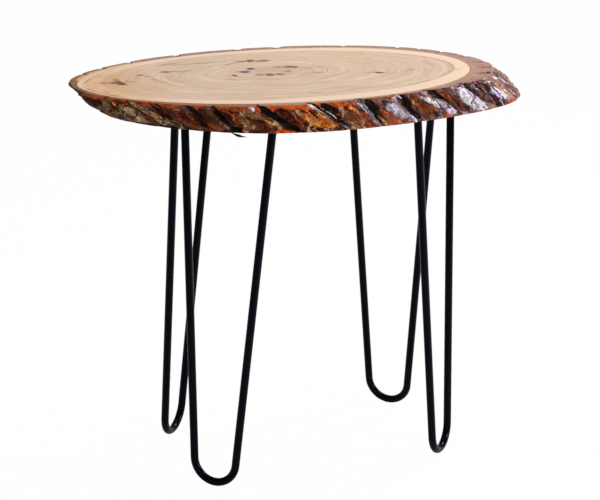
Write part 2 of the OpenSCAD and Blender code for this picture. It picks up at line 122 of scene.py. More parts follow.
PATCHES = (
    Patch(26, 0.6, 0.4, 16, 14, 0, 0.5, "umber", 0.8),
    Patch(27, 0.6, 0.45, 20, 16, 0, 1, "umber", 0.9),
    Patch(27, 0.5, 0.9, 7, 6, 0, -0.5, "fissure", 0.2),
    Patch(0, 0.4, 0.88, 10, 3.5, 0, 0, "rust", 0.2),
    Patch(0, 0.5, 0.35, 16, 12, 20, 3.6, "skin", 1.0),
    Patch(0, 0.1, 0.6, 4, 8, 0, 1, "hollow", 0.3),
    Patch(1, 0.08, 0.88, 5, 4, 0, 0.6, "skin", 0.6),
    Patch(1, 0.4, 0.32, 17, 8, 0, 4, "lichen", 1.0),
    Patch(1, 0.17, 0.74, 4, 3, 0, 0.5, "glow", 0.1),
    Patch(1, 0.5, 0.72, 4.5, 3, 0, 0.4, "gold", 0.2),
    Patch(1, 0.6, 0.9, 8, 3, 0, 0, "body", 0.5),
    # Painted shade: dark under the foot of ridges 1 and 2
    Patch(1, 0.8, 0.06, 14, 3, 0, 0.5, "hollow", 0.3),
    Patch(2, 0.1, 0.85, 6, 4, 0, -0.5, "hollow", 0.2),
    Patch(2, 0.1, 0.3, 7, 9, 0, 2, "umber", 0.8),
    Patch(2, 0.28, 0.8, 8, 6, 0, 0.8, "lichen", 0.7),
    Patch(2, 0.45, 0.55, 9, 12, 0, 1, "lichen", 0.9),
    Patch(2, 0.62, 0.22, 14, 8, 0, 2.6, "lichen", 1.0),
    # Painted shade: dark under the foot of ridge 2
    Patch(2, 0.4, 0.05, 12, 2.5, 0, -1, "hollow", 0.3),
    Patch(3, 0.2, 0.9, 3, 3, 0, -0.8, "hollow", 0),
    Patch(3, 0.5, 0.6, 17, 9, 0, 0.8, "umber", 1.0),
    Patch(3, 0.25, 0.42, 8, 7, 0, 0.5, "umber", 0.8),
    Patch(3, 0.62, 0.84, 5, 2, 0, 0.4, "tan", 0.5),
    Patch(3, 0.45, 0.33, 11, 5, -20, 1, "crest", 0.8),
    Patch(3, 0.72, 0.18, 11, 5, -20, 1, "crest", 0.8),
    Patch(3, 0.88, 0.86, 5, 6, 0, 0.5, "plum", 0.5),
    Patch(4, 0.05, 0.75, 5, 10, 0, -1.5, "fissure", 0),
    Patch(4, 0.42, 0.72, 7, 8, 0, 1.4, "umber", 0.9),
    Patch(4, 0.45, 0.62, 4, 4, 0, 0.6, "gold", 0.9),
    Patch(4, 0.68, 0.5, 6, 11, 0, 0.6, "skin", 0.7),
    Patch(4, 0.35, 0.2, 8, 6, 0, 0.4, "crest", 0.5),
    Patch(4, 0.94, 0.5, 5, 16, 0, -1.5, "fissure", 0),
    Patch(5, 0.03, 0.15, 8, 5, 0, -1, "fissure", 0),
    Patch(4, 0.8, 0.92, 4, 3.5, -30, 0.6, "plum", 0.6),
    Patch(5, 0.25, 0.66, 11, 8, 0, 0.3, "umber", 1.0),
    Patch(5, 0.3, 0.15, 8, 4, 0, 0.5, "umber", 0.9),
    Patch(5, 0.45, 0.32, 10, 6, 20, 0.8, "gold", 0.9),
    Patch(5, 0.3, 0.42, 6, 4, 0, 0.8, "gold", 0.8),
    Patch(5, 0.52, 0.5, 2.5, 15, 0, 0.3, "body", 0.6),
    Patch(5, 0.76, 0.45, 9, 15, 0, 0.8, "umber", 1.0),
    Patch(5, 0.84, 0.4, 5, 12, 0, 0.3, "skin", 0.8),
    Patch(5, 0.66, 0.75, 6, 6, 0, 0.5, "lichen", 0.7),
    Patch(5, 0.8, 0.38, 3, 3, 0, 0.3, "lichen", 0.2),
    Patch(5, 0.8, 0.03, 14, 2.5, 0, 0.3, "strip", 0),
    Patch(6, 0.04, 0.6, 6, 15, 0, -1.5, "fissure", 0),
    Patch(6, 0.08, 0.22, 7, 6, 0, -1, "fissure", 0.2),
    Patch(5, 0.78, 0.93, 3, 3.5, -30, 0.8, "bloom_and_highlight", 0.5),
    Patch(6, 0.38, 0.62, 12, 11, 0, 0.3, "umber", 1.0),
    Patch(6, 0.47, 0.58, 4, 9, -20, -0.3, "plum", 1.0),
    Patch(6, 0.7, 0.42, 19, 13, -10, -0.6, "hollow", 0.6),
    Patch(6, 0.7, 0.42, 17, 11.5, -10, 1.8, "crest", 0.3),
    # Painted highlight: the brightest part of the amber lump on ridge 6, its own amber made lighter
    # where the light catches it
    Patch(6, 0.72, 0.32, 13, 7, -10, 1.4, "glow", 0.5),
    Patch(6, 0.56, 0.46, 4, 4, 0, 0.8, "gold", 0.2),
    Patch(6, 0.8, 0.58, 6, 4, 0, 1.2, "glow", 0.3),
    Patch(6, 0.86, 0.42, 4, 5, -20, 0.8, "rust", 0.1),
    Patch(6, 0.74, 0.62, 1.5, 4, -20, -1, "hollow", 0),
    Patch(6, 0.93, 0.88, 3.5, 5, 0, 0.8, "bloom_and_highlight", 0.5),
    Patch(7, 0.22, 0.8, 8, 8, 0, -1.5, "fissure", 0.45),
    Patch(7, 0.12, 0.3, 5, 8, 0, -1.2, "fissure", 0.45),
    Patch(7, 0.04, 0.62, 1.8, 9, 0, 0.6, "bloom_and_highlight", 0.8),
    Patch(7, 0.03, 0.12, 2, 4, 0, 0.4, "bloom_and_highlight", 1.0),
    Patch(7, 0.42, 0.66, 4, 3, 0, 0.5, "plum", 0.7),
    Patch(7, 0.4, 0.42, 6, 5, 0, 0.8, "body", 0.2),
    Patch(7, 0.35, 0.1, 6, 3, 0, 0, "skin", 0.3),
    Patch(7, 0.72, 0.44, 9, 8, 0, 0.5, "body", 0.3),
    Patch(7, 0.72, 0.44, 7, 6.3, 0, 1.1, "crest", 0.1),
    Patch(7, 0.72, 0.44, 5.2, 4.6, 0, 0.7, "hollow", 0),
    Patch(7, 0.72, 0.44, 3.8, 3.2, 0, 1.2, "rust", 0),
    Patch(7, 0.72, 0.44, 1.8, 1.5, 0, 0.6, "hollow", 0),
    Patch(7, 0.66, 0.76, 5, 3, 0, 0.8, "glow", 0.1),
    Patch(7, 0.95, 0.74, 4.5, 8, 0, 1, "bloom_and_highlight", 1.0),
    Patch(7, 0.98, 0.3, 1.5, 8, 0, 0.6, "bloom_and_highlight", 1.0),
    Patch(8, 0.2, 0.75, 7, 7, 0, -1.5, "fissure", 0.45),
    Patch(8, 0.08, 0.4, 5, 9, 0, -1.5, "fissure", 0.45),
    Patch(8, 0.62, 0.83, 11, 1.5, -5, -1, "hollow", 0),
    Patch(8, 0.35, 0.4, 6, 9, 0, 0.6, "rust", 0.5),
    Patch(8, 0.5, 0.15, 12, 4, 0, 0.5, "rust", 0.4),
    Patch(8, 0.12, 0.2, 2.5, 7, 0, 0.3, "gold", 0.5),
    Patch(8, 0.62, 0.66, 11, 7, 0, 1.2, "bloom_and_highlight", 0.5),
    Patch(8, 0.75, 0.42, 10, 9, 0, 1.2, "bloom_and_highlight", 0.5),
    Patch(8, 0.9, 0.15, 4, 7, 0, 0.8, "bloom_and_highlight", 0.3),
    Patch(9, 0.1, 0.78, 6, 8, 0, -1.5, "fissure", 0.45),
    Patch(9, 0.06, 0.35, 5, 9, 0, -1.5, "fissure", 0.45),
    Patch(9, 0.04, 0.93, 2, 3, 0, 0.5, "bloom_and_highlight", 0),
    Patch(9, 0.38, 0.52, 12, 14, 0, 0.5, "umber", 0.5),
    Patch(9, 0.3, 0.7, 6, 4, 0, 0.3, "gold", 0.8),
    Patch(9, 0.7, 0.84, 5, 4, 0, 0.4, "crest", 0.2),
    Patch(9, 0.45, 0.2, 4, 5, 0, -1.2, "hollow", 0),
    Patch(9, 0.3, 0.1, 4, 4, 0, 0.5, "tan", 0.6),
    Patch(9, 0.68, 0.07, 7, 4, 0, 0.3, "crest", 0.2),
    Patch(9, 0.78, 0.52, 10, 5, 10, 0.8, "bloom_and_highlight", 0.7),
    Patch(9, 0.62, 0.72, 6.5, 6, 0, 1, "bloom_and_highlight", 0.2),
    Patch(9, 0.85, 0.24, 10, 6, 0, 0.8, "bloom_and_highlight", 0.4),
    Patch(10, 0.02, 0.8, 7, 7, 0, -1.3, "fissure", 0.45),
    Patch(10, 0.22, 0.5, 7, 14, 0, -0.3, "umber", 0.7),
    # Painted shadow: the purple shade at the lower left of ridge 10
    Patch(10, 0.35, 0.18, 8, 6, 0, 0, "plum", 0.8),
    Patch(10, 0.7, 0.72, 12, 8, 0, 1, "bloom_and_highlight", 0.3),
    Patch(10, 0.65, 0.45, 14, 9, 0, 1.2, "bloom_and_highlight", 0.3),
    Patch(10, 0.78, 0.2, 11, 7, 0, 0.9, "bloom_and_highlight", 0.3),
    Patch(10, 0.5, 0.82, 4, 6, 0, 0.5, "tan", 0.3),
    Patch(10, 0.73, 0.46, 13, 0.8, 26, -0.8, "hollow", 0),
    Patch(11, 0.25, 0.75, 14, 8, 0, 0.6, "plum", 1.0),
    Patch(11, 0.28, 0.28, 13, 10, 0, 0.3, "plum", 1.0),
    Patch(11, 0.4, 0.58, 10, 6, 0, 0.8, "bloom_and_highlight", 0.7),
    Patch(11, 0.68, 0.6, 8, 18, 0, 0.2, "tan", 0),
    Patch(11, 0.5, 0.34, 9, 5, 0, 0.8, "bloom_and_highlight", 0.6),
    Patch(11, 0.65, 0.08, 12, 3, 0, 0, "crest", 0.1),
    Patch(11, 0.04, 0.08, 6, 4, 0, 0, "tan", 0.1),
    Patch(12, 0.0, 0.5, 9, 20, 0, 0.3, "plum", 1.0),
    Patch(12, 0.0, 0.78, 3.5, 3, 0, 0.5, "bloom_and_highlight", 0.4),
    Patch(12, 0.03, 0.58, 3, 2.5, 0, 0.5, "bloom_and_highlight", 0.4),
    Patch(12, 0.04, 0.38, 3, 2.5, 0, 0.5, "bloom_and_highlight", 0.4),
    Patch(12, 0.06, 0.18, 3, 2.5, 0, 0.5, "bloom_and_highlight", 0.4),
    Patch(12, 0.8, 0.5, 14, 22, 0, 0, "mauve", 0.1),
    Patch(13, 0.5, 0.5, 22, 24, 0, 0, "mauve", 0.1),
)


def paint(red, green, blue):
    """A colour as a designer reads it off a swatch, 0 to 255, turned into linear light."""
    shares = (c / 255 for c in (red, green, blue))
    return tuple(c / 12.92 if c <= 0.04045 else ((c + 0.055) / 1.055) ** 2.4 for c in shares)


def length(name, description, default):
    return FloatProperty(name=name, description=description, default=default,
                         subtype="DISTANCE", unit="LENGTH", precision=4)


def colour(name, description, *swatch):
    return FloatVectorProperty(name=name, description=description, default=paint(*swatch),
                               subtype="COLOR", size=3, min=0.0, max=1.0)


def share(name, description, default):
    return FloatProperty(name=name, description=description, default=default, min=0.0, max=1.0,
                         subtype="FACTOR")


def angle(name, description, degrees):
    return FloatProperty(name=name, description=description, default=math.radians(degrees),
                         subtype="ANGLE", unit="ROTATION")


class SliceSettings(bpy.types.PropertyGroup):
    """The slice of log: the sizes that the bark and the growth rings follow"""

    long: length("Length", "Length of the slice over the bark's top edge", 527 * MM)
    wide: length("Width", "Width of the slice over the bark's top edge", 294 * MM)
    lean: angle("Lean", "Lean of the log's axis away from upright", 50)
    turn: angle("Turn", "Direction in plan in which the lower face lies", 10)
    wave: length("Waviness", "Waviness of the outline", 4 * MM)
    wood_wave: length("Wood's waviness", "Waviness of the wood's edge", 2.1 * MM)
    wood_tip: length("Wood's tip", "How far the wood's left end runs out to a point", 3.5 * MM)
    bark_side: length("Bark at sides", "Width of the bark's cut face at front and back", 9.5 * MM)
    bark_end: length("Bark at ends", "Width of the bark's cut face at the two ends", 18.5 * MM)
    wood_left: length("Wood to left", "How far the wood lies to the left in the bark", 6.5 * MM)
    wood_front: length("Wood to front", "How far the wood lies to the front in the bark", 0.5 * MM)


class BarkSettings(bpy.types.PropertyGroup):
    """The bark's relief and its varnished colours"""

    ridge_rise: length("Ridge rise", "How far the ridges of bark stand out", 6.5 * MM)
    fissure_depth: length("Fissure depth", "Depth of the fissures between ridges", 2.09 * MM)
    fissure_half: length("Fissure half width", "Half of the width of a fissure's floor", 1.7 * MM)
    bank: length("Bank", "Width of the slope that climbs to a ridge on its left", 5 * MM)
    lip: length("Lip", "Width of the steep drop on a ridge's right", 1.4 * MM)
    plate_step: length("Plate step", "Step from one thin plate of bark to the next", 0.9 * MM)
    lump: length("Lumps", "Height of the lumps on the ridges", 3.4 * MM)
    gap: length("Gaps", "Depth of the gaps between the scales on a ridge", 1.3 * MM)
    scale_size: length("Scale", "Size of the scales on a ridge", 16 * MM)
    flake: length("Flakes", "Height of the flakes in the fissures", 2.4 * MM)
    grit: length("Grit", "Height of the finest roughness", 0.7 * MM)
    crack: length("Crack", "Depth of the cracks in the cut face", 1.6 * MM)
    stray: angle("Stray", "How far round the rim a fissure strays between the faces", 1.5)
    winding: angle("Winding", "How far a fissure winds to either side", 0.35)
    pitch: length("Pitch", "Distance between the points of the bark's mesh", 1.05 * MM)
    splinter_reach: FloatVectorProperty(name="Splinter", size=3, default=(17 * MM, -10 * MM, -5 * MM),
                                        description="Reach of the loose splinter from its root",
                                        subtype="TRANSLATION", unit="LENGTH")
    splinter_thick: length("Splinter's thickness", "Thickness of the loose splinter", 3.4 * MM)
    plates: FloatProperty(name="Plates", description="Thin plates from a ridge's foot to its crest",
                          default=6.0)
    cut_face: colour("Cut face", "Sanded cut face of the bark", 188, 152, 138)
    cut_warm: colour("Cut face, warm", "Cut face of the bark on the left", 168, 118, 88)
    cut_grey: colour("Cut face, grey", "Weathered cut face at the left end", 134, 116, 102)
    cut_dark: colour("Cut face, dark", "Darker layers in the cut face", 120, 80, 62)
    lilac: colour("Lilac", "Sheen on the plates at the right", 226, 206, 250)
    ice: colour("Ice", "Paler sheen on the plates at the right", 226, 246, 238)
    sapwood: colour("Sapwood", "Wood that reaches into the cut face at the back", 222, 184, 142)
    strip: colour("Strip", "Smooth strip of inner bark under the top edge", 226, 98, 34)
    strip_dark: colour("Strip, dark", "Darker parts of the smooth strip", 144, 52, 18)
    speck: colour("Specks", "Bright specks among the ridges' grains", 244, 204, 148)
    # Also a painted highlight, in a patch on the amber lump of ridge 6
    glow: colour("Bright amber", "Lightest flakes of the ridges", 255, 148, 50)
    crest: colour("Amber", "Light plates of the ridges", 200, 92, 28)
    body: colour("Red brown", "Middling plates of the ridges", 122, 50, 14)
    # Also painted shade, in two patches under the foot of ridges 1 and 2
    hollow: colour("Dark brown", "Darkest plates of the ridges", 44, 17, 8)
    # Near black for the fissures' own dark floor, and painted shade for the depth they lie in
    fissure: colour("Fissure", "Floor of the fissures", 16, 12, 11)
    tan: colour("Tan", "Smooth floor of the fissures at the right end", 184, 144, 122)
    skin: colour("Skin", "Weathered outer skin of the ridges", 160, 104, 60)
    lichen: colour("Lichen", "Grey-beige lichen on the left", 220, 174, 122)
    rust: colour("Rust", "Smooth red-brown facets", 184, 88, 36)
    umber: colour("Umber", "Grainy brown between the ridges", 164, 76, 30)
    gold: colour("Gold", "Olive-gold flakes", 212, 146, 70)
    mauve: colour("Mauve", "Layered bark round the right end", 160, 124, 112)
    # Also painted shadow, in one patch at the lower left of ridge 10
    plum: colour("Plum", "Purple-grey skin on the right", 150, 108, 110)
    # Pale bloom with a painted highlight: the whitish glare of light on the plates, edges and specks of
    # the ridges
    bloom_and_highlight: colour("Frost", "Pale bloom on the right-hand ridges", 255, 242, 250)


class WoodSettings(bpy.types.PropertyGroup):
    """The sanded wood of the top"""

    heart: colour("Heartwood", "Main colour of the wood", 217, 191, 165)
    band: colour("Ring", "Darker part of a growth ring", 188, 152, 120)
    sap: colour("Sapwood", "Light band inside the bark", 240, 212, 184)
    honey: colour("Honey", "Yellower wood at the left end", 214, 160, 100)
    brown: colour("Brown stain", "Knots and brown streaks", 102, 50, 22)
    violet: colour("Violet stain", "Blue stains beside the pith", 74, 58, 84)
    rings: IntProperty(name="Rings", description="Growth rings from pith to bark", default=30)
    pith_x: length("Pith along", "Place of the pith along the slab", -34 * MM)
    pith_y: length("Pith across", "Place of the pith across the slab", 22 * MM)
    sapwood: share("Sapwood border", "Share of the way from the pith to the bark", 0.885)


class SteelSettings(bpy.types.PropertyGroup):
    """The coated steel of the legs and their screws"""

    coat: colour("Coat", "Black powder coat", 5, 5, 7)
    sheen: colour("Sheen", "Tint of the coat's highlights", 196, 206, 255)
    screw: colour("Screw", "Black oxide of the screws", 30, 30, 33)


class StageSettings(bpy.types.PropertyGroup):
    """The camera, the lamps and the floor"""

    camera_place: FloatVectorProperty(name="Camera", description="Place of the camera", size=3,
                                      default=CAMERA_PLACE, subtype="TRANSLATION",
                                      unit="LENGTH")
    camera_turn: angle("Camera turn", "Turn of the camera from the +Y direction", CAMERA_TURN)
    camera_tip: angle("Camera tip", "How far the camera looks down", CAMERA_TIP)
    camera_roll: angle("Camera roll", "Roll of the camera", CAMERA_ROLL)
    lens: FloatProperty(name="Lens", description="Focal length on a 36 mm sensor", default=LENS,
                        unit="CAMERA")
    floor: colour("Floor", "Plain pale floor", 236, 236, 236)
    glow: share("Floor glow", "Share of white that the camera sees in the floor", 0.985)


class Term:
    """A shader socket that can stand in a sum"""

    def __init__(self, finish, socket):
        self.finish = finish
        self.socket = socket

    def __add__(self, other):
        return self.finish.math("ADD", self, other)

    def __radd__(self, other):
        return self.finish.math("ADD", other, self)

    def __sub__(self, other):
        return self.finish.math("SUBTRACT", self, other)

    def __rsub__(self, other):
        return self.finish.math("SUBTRACT", other, self)

    def __mul__(self, other):
        return self.finish.math("MULTIPLY", self, other)

    def __rmul__(self, other):
        return self.finish.math("MULTIPLY", other, self)

    def __pow__(self, other):
        return self.finish.math("POWER", self, other)

    def root(self):
        return self.finish.math("SQRT", self)

    def most(self, other):
        return self.finish.math("MAXIMUM", self, other)

    def sine(self):
        return self.finish.math("SINE", self)

    def rise(self, low, high):
        """0 below low, 1 above high and smooth between them."""
        return self.finish.node("ShaderNodeMapRange", {"interpolation_type": "SMOOTHSTEP"},
                                {"Value": self, "From Min": low, "From Max": high})


class Finish:
    """The nodes of one material"""

    def __init__(self, name, **constants):
        self.material = bpy.data.materials.new(name)
        self.material.use_nodes = True
        self.tree = self.material.node_tree
        self.tree.nodes.clear()
        self.shader = self.tree.nodes.new("ShaderNodeBsdfPrincipled")
        output = self.tree.nodes.new("ShaderNodeOutputMaterial")
        self.tree.links.new(self.shader.outputs[0], output.inputs["Surface"])
        for socket, value in constants.items():
            self.shader.inputs[socket.replace("_", " ")].default_value = value

    def feed(self, socket, value):
        if isinstance(value, Term):
            self.tree.links.new(value.socket, socket)
        elif hasattr(value, "__len__") and len(value) == 3 and socket.type == "RGBA":
            socket.default_value = (*value, 1.0)
        else:
            socket.default_value = value

    def node(self, kind, settings, sockets, output=0):
        """One node: its settings first, then the values or links of its sockets."""
        made = self.tree.nodes.new(kind)
        for name, value in settings.items():
            if name == "stops":
                for place, (position, tone) in enumerate(value):
                    if place > 1:
                        made.color_ramp.elements.new(position)
                    made.color_ramp.elements[place].position = position
                    made.color_ramp.elements[place].color = (*tone, 1.0)
            else:
                setattr(made, name, value)
        for name, value in sockets.items():
            self.feed(made.inputs[name], value)
        return Term(self, made.outputs[output])

    def math(self, operation, *values):
        return self.node("ShaderNodeMath", {"operation": operation}, dict(enumerate(values)))

    def place(self):
        return self.node("ShaderNodeTexCoord", {}, {}, "Object")

    def split(self, vector):
        return [self.node("ShaderNodeSeparateXYZ", {}, {0: vector}, axis) for axis in range(3)]

    def join(self, x, y, z):
        return self.node("ShaderNodeCombineXYZ", {}, {0: x, 1: y, 2: z})

    def attribute(self, name):
        return self.node("ShaderNodeAttribute", {"attribute_name": name}, {}, "Fac")

    def noise(self, vector, scale, detail, roughness):
        return self.node("ShaderNodeTexNoise", {}, {
            "Vector": vector, "Scale": scale, "Detail": detail, "Roughness": roughness})

    def cells(self, vector, scale, feature="F1"):
        return self.node("ShaderNodeTexVoronoi", {"feature": feature},
                         {"Vector": vector, "Scale": scale})

    def blend(self, factor, first, second, how="MIX"):
        return self.node("ShaderNodeMix", {"data_type": "RGBA", "blend_type": how},
                         {0: factor, 6: first, 7: second}, 2)

    def bump(self, height, distance, strength=1.0):
        self.feed(self.shader.inputs["Normal"], self.node("ShaderNodeBump", {}, {
            "Height": height, "Distance": distance, "Strength": strength}))

    def paint(self, **sockets):
        for name, value in sockets.items():
            self.feed(self.shader.inputs[name.replace("_", " ")], value)
        return self.material


class Slice:
    """Places on the log slice, as arrays in metres: its rim, its ridges and its wood's edge"""

    # Direction of the heaviest ridges, and the shares of their rise that reach the faces there and
    # at the back
    HEAVY_SIDE = math.radians(-35)
    HEAVY_SHARE = 0.55
    BACK_SHARE = 0.45
    # Direction and sharpness of the point at the wood's left end
    TIP_SIDE = math.radians(176)
    TIP_SHARPNESS = 60
    # Where the smooth strip under the top edge begins, and how much lower at a ridge's ends
    STRIP_FOOT = 0.9
    STRIP_DROOP = 0.03
    # Shape of a ridge from end to end and from foot to strip
    CREST_SKEW = 1.6
    CREST_FULL = 0.6
    CREST_BASE = 0.2
    BELLY_START = 0.06
    # Share of the relief that is left at the lower face, and the height at which it is whole
    FOOT_SHARE = 0.3
    FOOT_TOP = 0.3
    # How much a fissure narrows towards the lower and the upper face, and less so at the back
    NARROW_LOW = 0.4
    NARROW_HIGH = 0.6
    NARROW_START = 0.7
    NARROW_BACK = 0.8
    # How much the fissures and the ridges differ
    FISSURE_VARY = 0.6
    LIGHT_SIDE = 0.3
    DEEP_BACK = 2.2
    RIDGE_VARY = 0.15
    # How far the bark's patterns follow the log's lean, as a share
    GRAIN_LEAN = 0.45
    # Scales of the lumps, the grit, the fissures' strays and the flakes, for each metre
    LUMP_SCALE = 60.0
    GRIT_SCALE = 300.0
    STRAY_SCALE = 32.0
    FLAKE_SCALE = 170.0
    # How far the lumps push the scales about, and how wide the gaps between scales are in a scale
    SCALE_PUSH = 4 * MM
    SCALE_GAP = 0.16
    # How ragged a patch's edge is, where it begins to fade and where it ends, as shares of its size
    PATCH_RAGGED = 0.45
    PATCH_FADE = 0.75
    PATCH_END = 1.15
    # Turns of the waves along a fissure, and from one ridge to the next
    WINDING_TURN = math.radians(315)
    RIDGE_PHASE = math.radians(137)
    STRAY_PHASE = math.radians(97)
    WIDTH_PHASE = math.radians(132)

    def __init__(self, sizes, bark):
        self.sizes = sizes
        self.bark = bark
        self.low = SLAB_LOW.z
        self.thick = SLAB_HIGH.z - SLAB_LOW.z
        reach = self.thick * math.tan(sizes.lean)
        self.shift = reach * np.array([math.cos(sizes.turn), math.sin(sizes.turn)])
        self.middle = np.zeros(2)
        round_rim = np.radians(np.arange(360))
        edge = np.concatenate([self.wood_edge(round_rim, 0), self.wood_edge(round_rim, 1)])[:, :2]
        low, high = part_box("wood_slab")
        self.middle = np.array((low + high).xy) / 2 - (edge.min(axis=0) + edge.max(axis=0)) / 2

    def ellipse(self, a, half_long, half_wide, swell=1.0):
        return np.stack([swell * half_long * np.cos(a), swell * half_wide * np.sin(a)], axis=-1)

    def rim_swell(self, a):
        """Outline of the slice, as a share of its ellipse."""
        return 1 - self.sizes.wave / self.sizes.long * (2 * np.sin(4 * a) + 1.3 * np.cos(5 * a))

    def wood_swell(self, a):
        """Outline of the wood, which is blunt at its right end and pointed at its left."""
        waves = 1.5 * np.cos(3 * a) - np.sin(3 * a)
        tip = np.maximum(np.cos(a - self.TIP_SIDE), 0) ** self.TIP_SHARPNESS
        return 1 + 2 * (self.sizes.wood_tip * tip - self.sizes.wood_wave * waves) / self.sizes.long

    def outward(self, a):
        normal = np.stack([np.cos(a) / self.sizes.long, np.sin(a) / self.sizes.wide], axis=-1)
        return normal / np.linalg.norm(normal, axis=-1, keepdims=True)

    def raised(self, plan, v):
        """Points in space over places in plan, on the log's leaning axis, at a share of the height."""
        v = np.broadcast_to(v, plan.shape[:-1])[..., None]
        return np.concatenate([plan + self.shift * (0.5 - v) + self.middle,
                               self.low + self.thick * v], axis=-1)

    def wood_edge(self, a, v, inset=0.0):
        plan = self.ellipse(a, self.sizes.long / 2 - self.sizes.bark_end - inset,
                            self.sizes.wide / 2 - self.sizes.bark_side - inset, self.wood_swell(a))
        return self.raised(plan - np.array([self.sizes.wood_left, self.sizes.wood_front]), v)

    def fissure(self, ridge, v):
        """Angle round the rim of the fissure before a ridge, which strays and winds over the height."""
        number = ridge % len(FISSURES)
        angles = np.radians(np.array(FISSURES)[number] + 360.0 * (ridge // len(FISSURES)))
        stray = self.bark.stray * np.sin(number * self.STRAY_PHASE) * (2 * v - 1)
        wave = self.WINDING_TURN * v + number * self.RIDGE_PHASE
        return angles + stray + self.bark.winding * (np.sin(wave) + 0.6 * np.sin(2 * wave))

    def speed(self, a):
        """Length of rim for each radian."""
        return np.hypot(self.sizes.long / 2 * np.sin(a), self.sizes.wide / 2 * np.cos(a))

    def columns(self, pitch):
        """Number of the ridge, and share of the way along it, of each column of points."""
        ridges, shares = [], []
        for ridge in range(len(FISSURES)):
            first, last = self.fissure(ridge, 0.5), self.fissure(ridge + 1, 0.5)
            steps = max(8, round((last - first) * float(self.speed((first + last) / 2)) / pitch))
            ridges += [ridge] * steps
            shares += [eased(step / steps) for step in range(steps)]
        return np.array(ridges), np.array(shares)

    def heaviness(self, a):
        return self.HEAVY_SHARE * np.maximum(np.cos(a - self.HEAVY_SIDE), 0)

    def side_share(self, a, degrees, low, high):
        """1 on the side of the rim that a direction points to, falling to 0 away from it."""
        return smooth(np.cos(a - math.radians(degrees)), low, high)

    def half_width(self, ridge, a, v):
        """Half of the width of the fissure before a ridge."""
        back = np.maximum(np.sin(a), 0)
        low = 1 - self.NARROW_LOW * (1 - smooth(v, 0, self.FOOT_TOP))
        high = 1 - (self.NARROW_HIGH * smooth(v, self.NARROW_START, 1) * (1 - self.heaviness(a))
                    * (1 - self.NARROW_BACK * back))
        vary = 1 + self.FISSURE_VARY * np.sin(ridge % len(FISSURES) * self.WIDTH_PHASE)
        return self.bark.fissure_half * vary * low * high

    def patches(self, a, v, lumps):
        """Colour, cover, pits and relief that the patches give each place on the side."""
        tint = np.zeros((*a.shape, 3)) + np.array(self.bark.hollow)
        cover, pitted, relief = 0 * a, 0 * a, 0 * a
        for patch in PATCHES:
            first, last = self.fissure(patch.ridge, v), self.fissure(patch.ridge + 1, v)
            gap = (a - first - (last - first) * patch.along + np.pi) % (2 * np.pi) - np.pi
            east = gap * self.speed(a) / MM
            north = (v - patch.height) * self.thick / MM
            turn = math.radians(patch.turn)
            far = self.PATCH_RAGGED * lumps + np.hypot(
                (east * math.cos(turn) + north * math.sin(turn)) / patch.half_long,
                (north * math.cos(turn) - east * math.sin(turn)) / patch.half_high)
            shown = 1 - smooth(far, self.PATCH_FADE, self.PATCH_END)
            tint += (np.array(getattr(self.bark, patch.tone)) - tint) * shown[..., None]
            cover = np.maximum(cover, shown)
            pitted += (patch.pitted - pitted) * shown
            relief += (patch.rise * MM - relief) * shown
        return tint, cover, pitted, relief

    def foot(self, v):
        """Share of the relief that is left at each height, which is less at the lower face."""
        return self.FOOT_SHARE + (1 - self.FOOT_SHARE) * smooth(v, 0, self.FOOT_TOP)

    def crest(self, along):
        """Share of its rise that a ridge has at each place along it."""
        climb = np.sin(np.pi * along ** self.CREST_SKEW) ** self.CREST_FULL
        return self.CREST_BASE + (1 - self.CREST_BASE) * climb

    def belly(self, a, v, tongue):
        """Share of its rise that a ridge has at each height."""
        climb = np.clip(self.BELLY_START + (1 - self.BELLY_START) * v / tongue, 0, 1)
        whole = np.maximum(self.heaviness(a), self.BACK_SHARE * np.sin(a))
        return self.foot(v) * (whole + (1 - whole) * np.sin(np.pi * climb) ** self.CREST_FULL)

    def floor_depth(self, a, v):
        """Depth of the fissures' floors."""
        light = 1 - self.LIGHT_SIDE * (1 - np.cos(a - self.HEAVY_SIDE))
        deep = 1 + self.DEEP_BACK * np.maximum(np.sin(a), 0)
        return self.foot(v) * self.bark.fissure_depth * light * deep

    def amber(self, a):
        """How strongly the bark glows at each angle round the rim."""
        turns = [(np.degrees(a) - middle + 180) % 360 - 180 for middle, _, _ in AMBER_PLACES]
        return sum(strength * np.exp(-(turn / half) ** 2)
                   for turn, (_, half, strength) in zip(turns, AMBER_PLACES))

    def lip_highlight(self, number, after, v, lumps):
        """The pale edge along a ridge's right end: weathered bark with a painted highlight where the
        edge catches the light.
        """
        wide = np.array(LIP_HIGHLIGHTS)[number] * (0.6 + 1.4 * v ** 2 + 1.5 * lumps)
        inner = smooth(after, 1.6 * wide * MM, (0.4 + 4 * wide) * MM)
        return smooth(after, 0, 1.0 * MM) * (1 - inner)

    def rim(self, ridge, along, v):
        """Points of the side and the marks that its colours read."""
        bark = self.bark
        number = ridge % len(FISSURES)
        first, last = self.fissure(ridge, v), self.fissure(ridge + 1, v)
        a = first + (last - first) * along
        outline = self.ellipse(a, self.sizes.long / 2, self.sizes.wide / 2, self.rim_swell(a))
        place = self.raised(outline, v)
        grain = place.copy()
        grain[..., :2] -= self.shift * (0.5 - v)[..., None] * self.GRAIN_LEAN
        lumps = fractal(grain, self.LUMP_SCALE, 3)
        grit = fractal(grain, self.GRIT_SCALE, 4)
        flakes = np.abs(fractal(grain * np.array([1, 1, 0.5]), self.FLAKE_SCALE, 4))
        pushed = grain + self.SCALE_PUSH * lumps[..., None]
        near_cell, border, cell = cells(pushed, 1 / bark.scale_size)
        scale = smooth(border, 0, self.SCALE_GAP)

